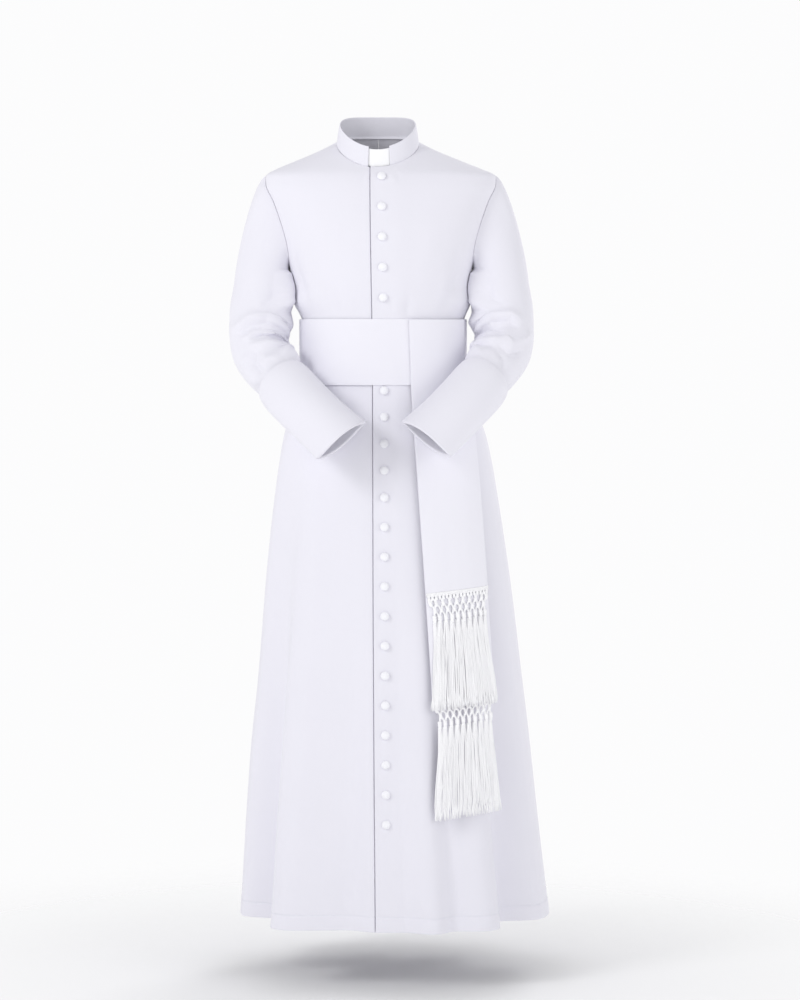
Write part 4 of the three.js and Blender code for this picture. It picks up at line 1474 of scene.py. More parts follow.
        dent = self.crease_depth(parts[:, None], turn[None, :], length)
        neck = bell(parts - self.cuff_part + self.neck_before, self.neck_reach)
        dent = dent - self.cuff_neck * neck[:, None]
        across = table.read("across", parts)[:, None] * MM + dent
        deep = table.read("deep", parts)[:, None] * MM + dent
        opened = np.clip((parts - self.cuff_part) / (1 - self.cuff_part), 0, 1)[:, None]
        pointed = 1 - self.mouth_lens * opened * (1 - np.abs(np.sin(turn)))
        rings = (
            at(middle)[:, None]
            + at(outward)[:, None] * (across * np.cos(turn))[..., None]
            + at(forward)[:, None] * (deep * np.sin(turn) * pointed)[..., None]
            + at(along)[:, None] * (self.mouth_tilt * opened * np.sin(turn))[..., None]
        )
        top_out, top_down, under_out, top_arm, under_arm = (pull * MM for pull in self.head_pull)
        top = (0.5 * (1 + np.cos(turn)))[:, None]
        start = self.loop(side, turn)
        start[:, 0] += side.value * SEAM
        leave = np.concatenate([
            side.value * (under_out + (top_out - under_out) * top), np.zeros_like(top), -top_down * top,
        ], 1)
        arrive = along[0] * (under_arm + (top_arm - under_arm) * top)
        t = np.linspace(0, 1, self.head_rows, endpoint=False)[:, None, None]
        grid = np.concatenate([hermite(start, leave, rings[0], arrive, t), rings])
        smooth = smoothstep(parts, self.cuff_part - self.smooth_before, self.cuff_part - self.neck_before)
        folded = 1 - np.concatenate([np.zeros(self.head_rows), smooth])
        return grid + self.relief(side, grid, folded)

    def relief(self, side: Side, grid: Array, folded: Array) -> Array:
        """Moves of a sleeve's points by its folds and by its fullness against the body.

        Args:
            side: Side of the sleeve.
            grid: Its points.
            folded: How much of its folds each ring has, none under the smooth cuff.

        Returns:
            The move of each point.
        """
        normals = tube_normals(grid)
        towards_body = smoothstep(-side.value * normals[..., 0], *self.bulge_facing)
        level = grid[..., 2]
        full = self.body_bulge * towards_body * bell(level - self.bulge_level, self.bulge_reach)
        folds = folded[:, None] * fold_relief(SLEEVE_FOLDS[side], grid, normals)
        moves = normals * (full + folds)[..., None]
        turn = np.linspace(0, 2 * np.pi, grid.shape[1], endpoint=False)
        resting = smoothstep(-np.cos(turn), *self.rest_facing)
        resting = resting * smoothstep(-level, *self.rest_from) * (1 - smoothstep(-level, *self.rest_to))
        beside = self.form.side_reach(grid[..., 1], level, side) + side.value * self.rest_gap
        moves[..., 0] += resting * (beside - grid[..., 0] - moves[..., 0])
        return moves

    def build_side(self, side: Side, word: str) -> None:
        """Builds a sleeve and its cuff.

        Args:
            side: Side of the sleeve.
            word: Word of that side in the names.
        """
        length = self.frames(side)[4]
        end = 1 - self.fold_reach / length
        parts = np.concatenate([np.linspace(0, end - 0.006, self.arm_rows), [end - 0.002, end]])
        grid = self.grid(side, parts)
        normals = tube_normals(grid)
        away = grid[0] - grid[0].mean(0)
        away[:, 0] = 0
        normals[0] = unit(away)
        inward = np.array([side.value, 0.0, 0.0])
        hidden = [
            grid[0] - normals[0] * depth * MM - inward * share * self.allowance
            for depth, share in self.HIDDEN_RINGS
        ]
        grid = np.concatenate([hidden, grid])
        normals = np.concatenate([np.repeat(normals[:1], 3, 0), normals])
        wall = soft_wall(grid, normals, CLOTH, (False, True, False, False), True)
        sleeve = dress(wall_object(f"sleeve_{word}_cloth", wall), Slot.CLOTH, [f"sleeve_{word}"])
        cuff_parts = np.linspace(self.cuff_part, 1, self.cuff_rows)
        cuff_grid = self.grid(side, cuff_parts)[self.head_rows:]
        cuff_normals = tube_normals(cuff_grid)
        cuff = self.cuff_object(f"cuff_{word}_cloth", cuff_grid, cuff_normals, length)
        dress(cuff, Slot.CLOTH, [f"cuff_{word}"])

    def cuff_object(self, name: str, grid: Array, normals: Array, length: float) -> Piece:
        """Cuff folded back over the sleeve's end and tucked inside it.

        Args:
            name: Name of the piece.
            grid: Outer face of the sleeve under the cuff.
            normals: Its unit vectors.
            length: Free length of the sleeve.

        Returns:
            The piece.
        """
        mouth, mouth_normal = grid[-1], normals[-1]
        outer_near, outer_far = LAYER, LAYER + CLOTH
        inner_near, inner_far = -CLOTH - LAYER, -2 * CLOTH - LAYER
        share = np.linspace(0, 1, self.cuff_rows)
        stand = self.cuff_stand * (1 - smoothstep(share, 0, self.stand_until))
        top = [grid[0] + normals[0] * (stand[0] + outer_near + CLOTH * part) for part in (0.25, 0.75)]
        outside = [grid[i] + normals[i] * (stand[i] + outer_far) for i in range(1, self.cuff_rows - 1)]
        along = unit(mouth - grid[-3])

        def turned(high: float, low: float, way: int) -> list[Array]:
            """Rings round the mouth's edge between two distances off the sleeve."""
            middle, radius = (high + low) / 2, (high - low) / 2
            return [
                mouth + mouth_normal * (middle + way * radius * np.cos(a))
                + along * (radius * self.mouth_round * np.sin(a) - self.mouth_back)
                for a in np.linspace(0, np.pi, 10)
            ]

        fold = turned(outer_far, inner_far, 1)
        under = turned(outer_near, inner_near, -1)
        rows_back = round(self.cuff_return / (length * (1 - self.cuff_part) / (self.cuff_rows - 1)))
        inside = [grid[-1 - i] + normals[-1 - i] * inner_far for i in range(1, rows_back + 1)]
        back = [grid[-1 - i] + normals[-1 - i] * inner_near for i in range(rows_back, 0, -1)]
        below = [grid[i] + normals[i] * (stand[i] + outer_near) for i in range(self.cuff_rows - 2, 0, -1)]
        ring = np.stack([*top, *outside, *fold, *inside, *back, *under, *below])
        rows, columns = ring.shape[:2]
        r, c = cells(rows, columns)
        corners = [(r, c), (r + 1, c), (r + 1, c + 1), (r, c + 1)]
        faces = np.stack([(row % rows) * columns + column % columns for row, column in corners], 1)
        closed = np.concatenate([ring, ring[:1]])
        layout = flat_layout(closed, True)
        places = np.stack([layout[row, column] for row, column in corners], 1)
        return mesh_object(name, ring, faces, places, 70)

    def build(self) -> None:
        """Builds both sides."""
        self.build_side(Side.RIGHT, "right")
        self.build_side(Side.LEFT, "left")


@dataclass
class StandCollar:
    """Stand collar, open in front, with the tab that shows in its gap."""

    form: BodyForm
    height: float = 38 * MM
    lean: float = 6 * MM
    open_from: float = -24 * MM
    open_to: float = 18 * MM
    tuck: float = 3.5 * MM
    columns: int = 150
    tab_from: float = -28 * MM
    tab_to: float = 22 * MM
    tab_foot: float = 3 * MM
    tab_top: float = 34 * MM
    tab_wall: float = 1.2 * MM
    tab_depth: float = 1 * MM

    def angle_at(self, x: float) -> float:
        """Angle of the neckline at an X in front."""
        return math.asin((x - self.form.NECK_X) / self.form.NECK_HALF)

    def shell(
        self, name: str, slot: Slot, angle: Array, height: Array, inset: Array, wall: float, foot: bool
    ) -> Piece:
        """Builds a wall that stands on the neckline.

        Args:
            name: Name of the piece.
            slot: Its slot.
            angle: Angles of its columns.
            height: Heights of its rows over the neckline.
            inset: How far each row lies in from the collar's outer face.
            wall: Its thickness.
            foot: Whether its lower edge is rounded too.

        Returns:
            The piece.
        """
        outward = np.stack([np.sin(angle), -np.cos(angle), np.zeros_like(angle)], -1)
        lean = self.lean * np.clip(height, 0, None) / self.height + inset
        grid = self.form.neck(angle) - outward * lean[:, None, None]
        grid[..., 2] += height[:, None]
        cloth = soft_wall(grid, np.broadcast_to(outward, grid.shape), wall, (foot, True, True, True))
        return dress(wall_object(name, cloth), slot, [name.rsplit("_", 1)[0]])

    def build(self) -> None:
        """Builds the band and the tab."""
        start, end = self.angle_at(self.open_to), 2 * math.pi + self.angle_at(self.open_from)
        edge = np.array([0, 0.006, 0.014, 0.026])
        middle = np.linspace(start + 0.05, end - 0.05, self.columns)
        height = np.concatenate([
            [-self.tuck, -1.5 * MM, -0.4 * MM, 0.8 * MM, 2.4 * MM],
            np.linspace(5 * MM, self.height - 3 * MM, 12),
            self.height - np.array([1.4, 0.5, 0]) * MM,
        ])
        tucked = (CLOTH + 0.5 * MM) * (1 - smoothstep(height, -1.8 * MM, 1.2 * MM))
        swell = -0.5 * MM * np.sin(np.pi * np.clip(height / self.height, 0, 1)) ** 0.7
        angle = np.concatenate([start + edge, middle, end - edge[::-1]])
        band = self.shell("collar_band_cloth", Slot.CLOTH, angle, height, tucked + swell, CLOTH, False)
        angle = np.linspace(self.angle_at(self.tab_from), self.angle_at(self.tab_to), 40)
        height = np.concatenate([
            [self.tab_foot - 1 * MM, self.tab_foot],
            np.linspace(6 * MM, self.tab_top - 2 * MM, 10),
            [self.tab_top - 0.6 * MM, self.tab_top],
        ])
        inset = np.full_like(height, CLOTH + LAYER + self.tab_depth)
        tab = self.shell("collar_tab_plate", Slot.TAB, angle, height, inset, self.tab_wall, True)


TAIL_EDGE = rows_of(
    LineStop,
    (-326, 50), (-449, 54), (-600, 63), (-833, 79), (-1030, 91), (-1240, 98),
)


@dataclass(frozen=True)
class Tail:
    """A hanging end of the sash, with how its foot tilts and how far its fringe swings out."""

    name: str
    top: float
    foot: float
    rise: float
    swing: float
    longer: float
    inset: float
    seed: int


BAND_INSET = 2.8 * MM
TAIL_GAP = 0.95 * MM
BACK_INSET = BAND_INSET + SASH_CLOTH + TAIL_GAP
FRONT_INSET = BACK_INSET + SASH_CLOTH + LAYER
TAIL_BACK = Tail("back", -332 * MM, -1027 * MM, 14 * MM, 0, 7 * MM, BACK_INSET, 11)
TAIL_FRONT = Tail("front", -327 * MM, -833 * MM, 11 * MM, 2 * MM, 0, FRONT_INSET, 23)


@dataclass
class Sash:
    """Band round the waist and the two tails that hang from it."""

    form: BodyForm
    top: float = -326 * MM
    foot: float = -449 * MM
    width: float = 127 * MM
    clearance: float = 2.5 * MM
    edge_fold: float = 0.35 * MM
    edge_reach: float = 2.2 * MM
    release: float = 60 * MM
    tail_span: Pair = (-0.25, 1.45)
    hang_from: Pair = (460 * MM, 800 * MM)

    def over_body(self, angle: Array, z: Array, out: Array) -> Array:
        """Points over the smooth body line, moved straight out from it."""
        angle, z, out = np.broadcast_arrays(angle, z, out)
        point = self.form.point(angle, z, 0)
        point[..., 0] += out * np.sin(angle)
        point[..., 1] -= out * np.cos(angle)
        return point

    def tail_out(self, inset: float, z: Array) -> Array:
        """How far a tail stands off the smooth body line at a level."""
        below = smoothstep(-z, -self.foot, -self.foot + self.release)
        angles = np.radians(np.arange(10, 67, 2))
        crest = np.maximum(self.form.fold_height(angles[None, :], np.asarray(z).reshape(-1, 1)).max(1), 0)
        return inset + below * self.clearance + crest.reshape(np.shape(z))

    def tail_points(self, across: Array, z: Array, out: Array, inset: float) -> Array:
        """Points on a tail.

        Args:
            across: Distances from its inner edge.
            z: Levels.
            out: Distances out from its own face.
            inset: Distance of that face from the body line.

        Returns:
            Points in metres.
        """
        across, z, out = (np.ravel(part) for part in np.broadcast_arrays(across, z, out))
        levels = np.linspace(z.min() - 1 * MM, z.max() + 1 * MM, 200)
        edge = SmoothTable(TAIL_EDGE, "z").read("x", levels / MM) * MM
        first = self.form.angle_at_x(edge, below_chest(levels))
        span = np.linspace(*self.tail_span, 341)
        angle = first[:, None] + span
        reach = self.tail_out(inset, levels)
        points = self.over_body(angle, levels[:, None], reach[:, None])
        travelled = row_reach(points[..., :2])
        zero = np.array([np.interp(0, span, row) for row in travelled])
        travelled = travelled - zero[:, None]
        place = (z - levels[0]) / (levels[1] - levels[0])
        low = np.clip(place.astype(int), 0, len(levels) - 2)
        share = place - low
        turn = np.zeros(len(z))
        for row in np.unique(low):
            here = low == row
            for step_row, weight in ((row, 1 - share[here]), (row + 1, share[here])):
                turn[here] += weight * np.interp(across[here], travelled[step_row], angle[step_row])
        return self.over_body(turn, z, np.interp(z, levels, reach) + out)

    def build_band(self) -> None:
        """Builds the band round the waist."""
        levels = np.concatenate([
            self.top - np.array([0, 0.5, 1.4, 3, 5]) * MM,
            np.linspace(self.top - 8 * MM, self.foot + 8 * MM, 34),
            self.foot + np.array([5, 3, 1.4, 0.5, 0]) * MM,
        ])
        angle = np.linspace(0, 2 * np.pi, 300, endpoint=False)
        ripple = crease_relief(SASH_CREASES, np.degrees(angle)[None, :], levels[:, None] / MM, 140) * MM
        edge = np.minimum(self.top - levels, levels - self.foot)
        rolled = self.edge_fold * bell(edge, self.edge_reach)
        out = BAND_INSET + SASH_CLOTH + ripple - rolled[:, None]
        outer = self.over_body(angle[None, :], levels[:, None], out)
        inner = self.over_body(angle[None, :], levels[:, None], out - SASH_CLOTH + rolled[:, None] * 0.5)
        wall = Wall(outer, inner, flat_layout(outer, True), True)
        band = dress(wall_object("sash_band_silk", wall), Slot.SASH, ["sash_band"])

    def build_tail(self, tail: Tail) -> None:
        """Args:
            tail: The tail.
        """
        fine = np.array([0, 0.004, 0.011, 0.022])
        shares = np.concatenate([fine, np.linspace(0.04, 0.96, 44), 1 - fine[::-1]])
        rows = np.linspace(0, 1, int((tail.top - tail.foot) / (5 * MM)))
        rows = np.concatenate([rows[:-1], [1 - 0.4 * (1 - rows[-2]), 1]])
        z = tail.top + (tail.foot - tail.top) * rows
        raised = smoothstep(-z, -tail.foot - 160 * MM, -tail.foot) * tail.rise
        level = z[:, None] + raised[:, None] * shares
        across = np.broadcast_to(shares * self.width, level.shape)
        sway = crease_relief(TAIL_CREASES, across / MM * 0.5, level / MM, 180 / math.pi * 2) * MM
        edge = np.minimum(shares, 1 - shares) * self.width
        hang = smoothstep(-level, *self.hang_from)
        rolled = self.edge_fold * bell(edge, self.edge_reach)
        out = sway * hang - rolled
        outer, inner = (
            self.tail_points(across, level, face, tail.inset).reshape(*level.shape, 3)
            for face in (SASH_CLOTH + out, out * 0.999 + rolled * 0.5)
        )
        wall = Wall(outer, inner, flat_layout(outer))
        piece = dress(wall_object(f"sash_tail_{tail.name}_silk", wall), Slot.SASH, [f"sash_tail_{tail.name}"])

    def build(self, fringes: dict[str, Piece]) -> None:
        """Builds the band and both tails.

        Args:
            fringes: Fringes of the tails, by name; not used.
        """
        self.build_band()
        for tail in (TAIL_BACK, TAIL_FRONT):
            self.build_tail(tail)


SASH_CREASES = rows_of(
    Crease,
    (-70, -372, 60, 16, -0.7, 80, 4), (-40, -410, 90, 18, 0.6, 84, -4),
    (-12, -352, 80, 16, -0.5, 88, 3), (110, -380, 120, 16, -0.8, 84, 5),
    (150, -400, 120, 18, 0.7, 88, -5), (-150, -365, 120, 16, -0.8, 92, 5),
    (-115, -405, 110, 18, 0.6, 86, -4),
)
TAIL_CREASES = rows_of(
    Crease,
    (10, -700, 420, 8, 0.5, 0, 2), (26, -760, 380, 10, -0.6, 1, -2),
    (44, -690, 420, 9, 0.5, 0, 2), (20, -960, 260, 10, 0.7, 1, 2),
    (50, -950, 260, 10, -0.6, -1, 2),
)


class TubeBundle:
    """Many cords joined into one mesh, laid out flat and then hung."""

    KNOT_CROSS, KNOT_RISE = 0.35, 0.15
    KNOT_END, KNOT_BELLY = 0.32, 0.4

    def __init__(self, sides: int) -> None:
        """Args:
            sides: Sides of each cord.
        """
        self.sides = sides
        self.points: list[Array] = []
        self.faces: list[Array] = []
        self.places: list[Array] = []
        self.count = 0

    def add(self, line: Array, radius: Array) -> None:
        """Adds a cord.

        Args:
            line: Its middle line: across, out and down, with a point to a row.
            radius: Its radius at each point.
        """
        way = unit(np.gradient(line, axis=0))
        side = unit(np.cross(way, [0.0, 1.0, 0.0]))
        up = np.cross(side, way)
        turn = np.linspace(0, 2 * np.pi, self.sides, endpoint=False)
        ring = side[:, None] * np.cos(turn)[None, :, None] + up[:, None] * np.sin(turn)[None, :, None]
        points = line[:, None] + ring * radius[:, None, None]
        rows = len(line)
        r, k = cells(rows - 1, self.sides)
        corners = [(r, k), (r, k + 1), (r + 1, k + 1), (r + 1, k)]
        faces = np.stack([self.count + row * self.sides + column % self.sides for row, column in corners], 1)
        reach = path_reach(line)
        places = np.stack([np.stack([column / self.sides, reach[row]], -1) for row, column in corners], 1)
        self.points.append(points.reshape(-1, 3))
        self.faces.append(faces)
        self.places.append(places)
        self.count += rows * self.sides

    def add_knot(self, middle: Array, size: Array) -> None:
        """Adds a round knot of crossed loops.

        Args:
            middle: Its middle.
            size: Its half sizes across, out and down.
        """
        for tilt in (-1, 1):
            t = np.linspace(0, np.pi, 9)
            line = np.stack([
                middle[0] + size[0] * self.KNOT_CROSS * np.cos(t) * tilt,
                middle[1] + size[1] * self.KNOT_RISE * np.sin(t),
                middle[2] + size[2] * np.cos(t),
            ], 1)
            self.add(line, size[0] * (self.KNOT_END + self.KNOT_BELLY * np.sin(t)))

    def joined(self, name: str, points: Array | None = None) -> Piece:
        """Object of all cords.

        Args:
            name: Name of the object.
            points: Their points, where they have been moved.

        Returns:
            The object.
        """
        points = np.concatenate(self.points) if points is None else points
        return mesh_object(name, points, np.concatenate(self.faces), np.concatenate(self.places), CRISP)


@dataclass
class Fringe:
    """Knotted net and hanging threads at the foot of a tail."""

    sash: Sash
    groups: int = 9
    heading: float = 6 * MM
    knot_rows: tuple[float, float, float, float] = (10.5 * MM, 21.5 * MM, 33.5 * MM, 47 * MM)
    knot_sizes: tuple[float, float, float, float] = (3.2 * MM, 4.2 * MM, 4.2 * MM, 5.4 * MM)
    length: float = 217 * MM
    threads: int = 15
    thread: float = 0.85 * MM
    cord: float = 1.3 * MM
    mid: float = 1.6 * MM
    net_reach: float = 0.62
    end_inset: float = 2.6 * MM
    pinch: float = 0.84
    flare: float = 1.05

    def flat(self, tail: Tail) -> TubeBundle:
        """Fringe laid out flat.

        Args:
            tail: The tail that it hangs from.

        Returns:
            Its cords: across, out and down.
        """
        random = np.random.default_rng(tail.seed)
        bundle = TubeBundle(8)
        width = self.sash.width
        pitch = width / self.groups
        for row in (0.9 * MM, 2.6 * MM, 4.3 * MM, 6 * MM):
            wave = np.linspace(0, width, 120)
            line = np.stack([wave, self.mid + 0.2 * MM * np.sin(wave / MM * 2.1), np.full(120, row)], 1)
            bundle.add(line, np.full(120, 1.05 * MM))
        halves = [(i + 0.5) * pitch / 2 for i in range(2 * self.groups)]
        middles = [(i + 0.5) * pitch for i in range(self.groups)]
        feet = [self.knot_place(i, pitch) for i in range(self.groups + 1)]
        rows = list(zip((halves, feet, middles, feet), self.knot_rows, self.knot_sizes))
        for x in halves:
            for lean in (-0.3, 0.3):
                self.span(bundle, (x + lean * pitch / 2, self.heading - 1 * MM), (x, self.knot_rows[0]), 0)
        for (above, top, _), (below, foot, _) in zip(rows, rows[1:]):
            reach = self.net_reach * pitch
            for start, end in ((a, b) for a in above for b in below if abs(b - a) < reach):
                lean = 1 if end > start else -1
                for k in (-0.8, 0.8):
                    first = (start + (k + lean * 0.8) * MM, top)
                    self.span(bundle, first, (end + (k - lean) * MM, foot), lean * 1.2 * MM)
        for places, down, size in rows:
            for x in places:
                self.knot(bundle, random, x, down, size)
        for i, x in enumerate(feet):
            self.knot(bundle, random, x, self.knot_rows[-1] + 5.6 * MM, 4.4 * MM)
            self.add_threads(bundle, random, i, x, pitch, tail)
        return bundle

    def knot_place(self, foot: int, pitch: float) -> float:
        """Place across the fringe of one of the lower knots."""
        return foot * pitch + ((foot == 0) - (foot == self.groups)) * self.end_inset

    def span(
        self, bundle: TubeBundle, start: tuple[float, float], end: tuple[float, float], bow: float
    ) -> None:
        """Adds a stretch of net cord.

        Args:
            bundle: Bundle that it joins.
            start: Its start, across and down.
            end: Its end, across and down.
            bow: How far its middle bows across.
        """
        t = np.linspace(0, 1, 9)
        line = np.stack([
            start[0] + (end[0] - start[0]) * t + bow * np.sin(np.pi * t),
            self.mid + 0.4 * MM * np.sin(np.pi * t),
            start[1] + (end[1] - start[1]) * t,
        ], 1)
        bundle.add(line, np.full(9, self.cord))

    def knot(
        self, bundle: TubeBundle, random: np.random.Generator, x: float, down: float, size: float
    ) -> None:
        """Adds a knot, a little off its place.

        Args:
            bundle: Bundle that it joins.
            random: Source of its irregularities.
            x: Its place across the fringe.
            down: Its place down the fringe.
            size: Its half width.
        """
        middle = np.array([x, self.mid, down]) + random.normal(0, 0.25 * MM, 3) * [1, 0, 1]
        bundle.add_knot(middle, size * np.array([1, 0.62, 0.92]) * random.uniform(0.93, 1.08))

    def add_threads(
        self, bundle: TubeBundle, random: np.random.Generator,
        group: int, middle: float, pitch: float, tail: Tail,
    ) -> None:
        """Adds the threads that hang from a lower knot.

        Args:
            bundle: Bundle that they join.
            random: Source of their irregularities.
            group: Number of the knot.
            middle: Place of the knot across the fringe.
            pitch: Distance between knots.
            tail: The tail that they belong to.
        """
        inner = 0 < group < self.groups
        spread = pitch * (1.12 if inner else 0.72)
        lean = 0 if inner else (0.2 if group == 0 else -0.2) * pitch
        start = self.knot_rows[-1] + 6 * MM
        phase, tilt = random.uniform(0, 6.28), random.normal(0, 1.0 * MM)
        for k in range(self.threads):
            layer = k % 2
            place = (k + 0.5) / self.threads - 0.5 + random.normal(0, 0.025)
            long = self.length + tail.longer - abs(random.normal(0, 2.6 * MM))
            t = np.linspace(0, 1, 20)
            opened = 0.6 + 0.4 * smoothstep(t, 0, 0.25)
            loose = smoothstep(t, 0, 0.3)
            tip = smoothstep(t, 0.84, 1)
            wander = random.normal(0, 0.8 * MM) * np.sin(np.pi * t * random.uniform(1, 2.2) + phase)
            x = middle + (place * spread + lean * loose) * opened
            x = x + (wander + tilt * 0.6) * loose + random.normal(0, 1.7 * MM) * tip
            rounded = 0.9 * MM * (1 - (2 * place) ** 2) * (1 - 0.5 * loose)
            y = (0.55 + 0.95 * layer) * MM + rounded + abs(random.normal(0, 0.8 * MM)) * tip
            radius = self.thread * (1.08 - 0.12 * t) * (1 - 0.5 * smoothstep(t, 0.97, 1))
            bundle.add(np.stack([x, y, start + (long - start) * t], 1), radius)

    def build(self, tail: Tail) -> Piece:
        """Hangs a fringe from the foot of a tail.

        Args:
            tail: The tail.

        Returns:
            The piece.
        """
        bundle = self.flat(tail)
        points = np.concatenate(bundle.points)
        down = points[:, 2]
        net = smoothstep(down, 0, self.knot_rows[-1])
        loose = smoothstep(down, self.knot_rows[-1], self.length)
        scale = 1 + (self.pinch - 1) * net + (self.flare - self.pinch) * loose
        half = self.sash.width / 2
        across = half + (points[:, 0] - half) * scale
        level = tail.foot + tail.rise * across / self.sash.width - SEAM - down
        out = points[:, 1] + tail.swing * down / self.length
        hung = self.sash.tail_points(across, level, out, tail.inset)
        return dress(bundle.joined(f"fringe_{tail.name}_threads", hung), Slot.FRINGE, [f"fringe_{tail.name}"])


class ButtonRow(NamedTuple):
    """An even run of buttons: first and last level in millimetres, and their number."""

    first: float
    last: float
    count: int


BUTTON_ROWS = rows_of(ButtonRow, (-61.5, -286, 5), (-459.5, -607, 4), (-657, -1259, 12))


@dataclass
class Buttons:
    """Covered dome buttons down the over front."""

    form: BodyForm
    radius: float = 8.2 * MM
    height: float = 6.2 * MM
    gap: float = 0.6 * MM
    sides: int = 36
    pucker: float = 0.012
    puckers: int = 9

    def profile(self) -> Array:
        """Radius and height of the dome, from the middle of its back to its top."""
        dome = np.linspace(0, np.pi / 2, 12)
        crown = np.stack([self.radius * np.cos(dome), self.height * (0.3 + 0.7 * np.sin(dome))], 1)
        back = np.array([[0, 0.05], [0.45, 0.05], [0.74, 0.0], [0.9, 0.08], [0.985, 0.18]])
        back = back * np.array([self.radius, self.height])
        return np.concatenate([back, crown])

    def build(self) -> None:
        """Builds all buttons, from the top down."""
        levels = np.concatenate([np.linspace(row.first, row.last, row.count) for row in BUTTON_ROWS]) * MM
        profile = self.profile()
        turn = np.linspace(0, 2 * np.pi, self.sides, endpoint=False)
        for number, level in enumerate(levels, 1):
            down = np.array(self.form.down_at(level))
            angle = self.form.angle_at_x(self.form.button_x(level), down)
            normal = self.form.normal(angle, down)
            foot = self.form.cloth(angle, down) + normal * (CLOTH + SEAM + self.gap)
            side = unit(np.cross([0.0, 0.0, 1.0], normal))
            up = np.cross(normal, side)
            pucker = 1 + self.pucker * np.cos(turn * self.puckers + number)
            rim = profile[:, :1] * np.where(profile[:, 1:] < self.height * 0.3, 1, pucker)
            points = (
                foot
                + side * (rim * np.cos(turn))[..., None]
                + up * (rim * np.sin(turn))[..., None]
                + normal * profile[:, 1][:, None, None]
            )
            self.button(f"button_{number:02d}", points, rim, turn)

    def button(self, name: str, points: Array, rim: Array, turn: Array) -> None:
        """Builds one button.

        Args:
            name: Name of its node.
            points: Rings of points from back to top.
            rim: Radius of each ring's points.
            turn: Angles of the points.
        """
        rows, columns = points.shape[:2]
        r, c = cells(rows - 1, columns)
        corners = [(r, c), (r, (c + 1) % columns), (r + 1, (c + 1) % columns), (r + 1, c)]
        faces = np.stack([row * columns + column for row, column in corners], 1)
        layout = np.stack([rim * np.cos(turn), rim * np.sin(turn)], -1)
        places = np.stack([layout[row, column] for row, column in corners], 1)
        piece = mesh_object(f"{name}_dome", points, faces, places, CRISP)
        merge = piece.modifiers.new("merge", "WELD")
        merge.merge_threshold = 0.01 * MM
        bake_modifiers(piece)
        dress(piece, Slot.BUTTON, [name])


def bake_modifiers(piece: Piece) -> None:
    """Applies a piece's modifiers to its mesh."""
    graph = bpy.context.evaluated_depsgraph_get()
    mesh = bpy.data.meshes.new_from_object(piece.evaluated_get(graph))
    old = piece.data
    piece.modifiers.clear()
    piece.data = mesh
    bpy.data.meshes.remove(old)


@dataclass
class Stitching:
    """Row of stitches along the hem."""

    form: BodyForm
    panels: BodyPanels
    pitch: float = 3.4 * MM
    stitch: float = 2.5 * MM
    thread: float = 0.28 * MM
    first: float = 3 * MM
    first_level: float = -1430 * MM
    open_angle: float = 0.06
    over_angle: float = 0.6

    def add_row(self, bundle: TubeBundle, line: Array, normals: Array) -> None:
        """Adds a row of stitches along a line on the cloth.

        Args:
            bundle: Bundle that they join.
            line: Points of the line.
            normals: Unit vectors out of the cloth there.
        """
        reach = path_reach(line)
        t = np.array([0, 0.3, 0.7, 1])
        lift = np.array([-0.15, 0.22, 0.22, -0.15]) * MM
        for start in np.arange(0, reach[-1] - self.stitch, self.pitch):
            at = start + self.stitch * t
            point = at_reach(at, reach, line) + at_reach(at, reach, normals) * lift[:, None]
            bundle.add(point, np.full(len(t), self.thread))

    def build(self) -> None:
        """Builds the stitches of the hem."""
        bundle = TubeBundle(5)
        down = np.array(below_chest(HEM_STITCH))
        start = float(self.form.angle_at_x(self.form.button_x(self.first_level) - OVERLAP + self.first, down))
        angle = np.linspace(start, start + 2 * np.pi - self.open_angle, 900)
        wrapped = (angle + np.pi) % (2 * np.pi) - np.pi
        points = self.form.cloth(wrapped, down)
        normals = self.form.normal(wrapped, down)
        rise = self.form.relief(wrapped, points[:, 2]) + self.panels.hem_relief(points)
        over = (wrapped > start) & (wrapped < self.over_angle)
        rise = rise + np.where(over, self.panels.lap_rise(points[:, 0], points[:, 2]), 0)
        self.add_row(bundle, points + normals * rise[:, None], normals)
        dress(bundle.joined("cassock_stitches"), Slot.CLOTH, material=SEWING_THREAD.material())


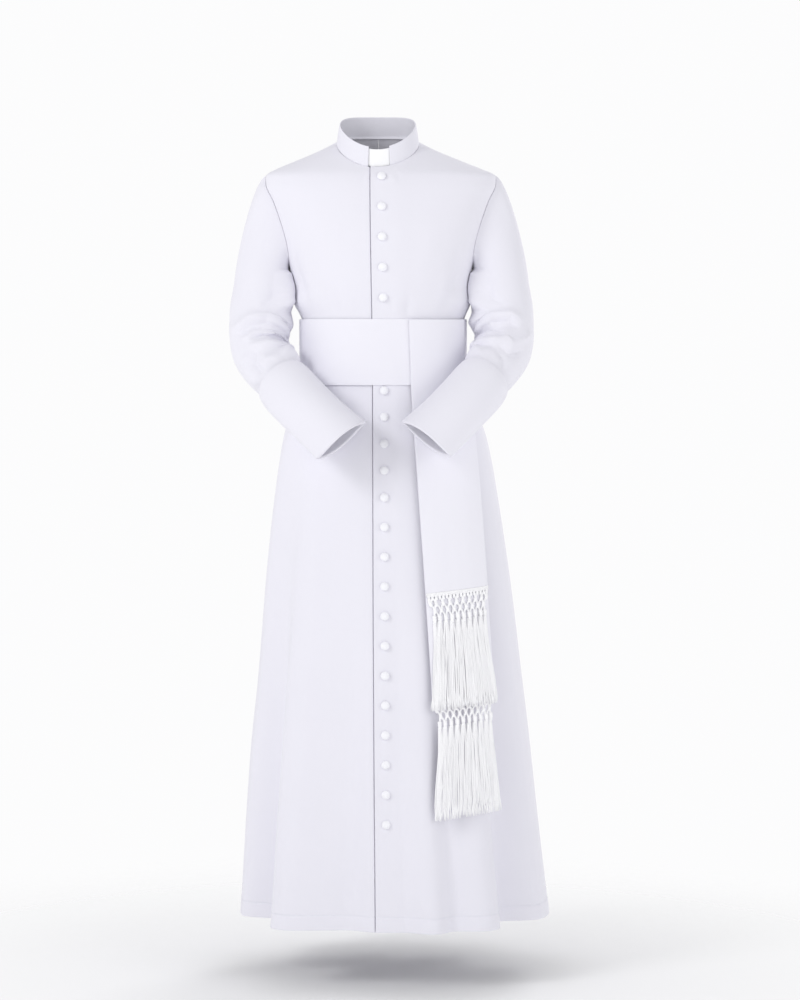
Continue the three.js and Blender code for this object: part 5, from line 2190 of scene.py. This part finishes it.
@dataclass
class Studio:
    """Floor, lights and camera."""

    floor_level: float = -1.571
    floor_size: float = 8.0
    eye: Triple = (0.036, -6.0, -0.365)
    target: Triple = (0.036, 0.0, -0.669)
    lit: Triple = (0, 0, -0.75)
    lens: float = 113.7

    def build_floor(self) -> None:
        """Builds the floor."""
        half = self.floor_size / 2
        corners = np.array([[-half, -half], [half, -half], [half, half], [-half, half]])
        points = np.concatenate([corners, np.full((4, 1), self.floor_level)], 1)
        mesh = bpy.data.meshes.new("floor")
        mesh.from_pydata(points.tolist(), [], [(0, 1, 2, 3)])
        floor = linked("floor", mesh)
        floor.data.materials.append(PaleFloor().material())

    def build_light(self, name: str, place: Triple, size: float, power: float) -> None:
        """Builds a large soft light that faces the garment.

        Args:
            name: Name of the light.
            place: Where it stands.
            size: Its side in metres.
            power: Its power in watts.
        """
        light = bpy.data.lights.new(name, "AREA")
        light.shape = "SQUARE"
        light.size = size
        light.energy = power
        self.aimed(name, light, place, self.lit)

    def aimed(self, name: str, data: bpy.types.ID, place: Triple, target: Triple) -> Piece:
        """Places a light or a camera and turns it to a point.

        Args:
            name: Name of the object.
            data: Its light or camera.
            place: Where it stands.
            target: Where it looks.

        Returns:
            The object.
        """
        placed = linked(name, data)
        placed.location = place
        placed.rotation_euler = (Vector(target) - Vector(place)).to_track_quat("-Z", "Y").to_euler()
        return placed

    def build(self) -> None:
        """Builds the studio."""
        self.build_floor()
        self.build_light("key", (-3.4, -3.0, 1.7), 1.5, 64)
        self.build_light("fill", (3.4, -3.2, 0.3), 2.4, 26)
        self.build_light("back", (1.8, 3.6, 1.8), 2.0, 44)
        scene = bpy.context.scene
        scene.world = StudioAir().world()
        scene.view_settings.view_transform = "Standard"
        data = bpy.data.cameras.new("camera")
        data.lens = self.lens
        data.sensor_width = 36
        data.clip_end = 100
        scene.camera = self.aimed("camera", data, self.eye, self.target)


def main() -> None:
    """Builds the studio and the garment."""
    logging.basicConfig(level=logging.INFO, format="%(name)s %(message)s")
    Studio().build()
    FINISHES.update({slot: finish.material() for slot, finish in SLOT_FINISHES.items()})
    form = BodyForm()
    panels = BodyPanels(form)
    panels.build()
    Sleeves(form).build()
    StandCollar(form).build()
    sash = Sash(form)
    fringe = Fringe(sash)
    sash.build({tail.name: fringe.build(tail) for tail in (TAIL_BACK, TAIL_FRONT)})
    Buttons(form).build()
    Stitching(form, panels).build()


if __name__ == "__main__":
    main()
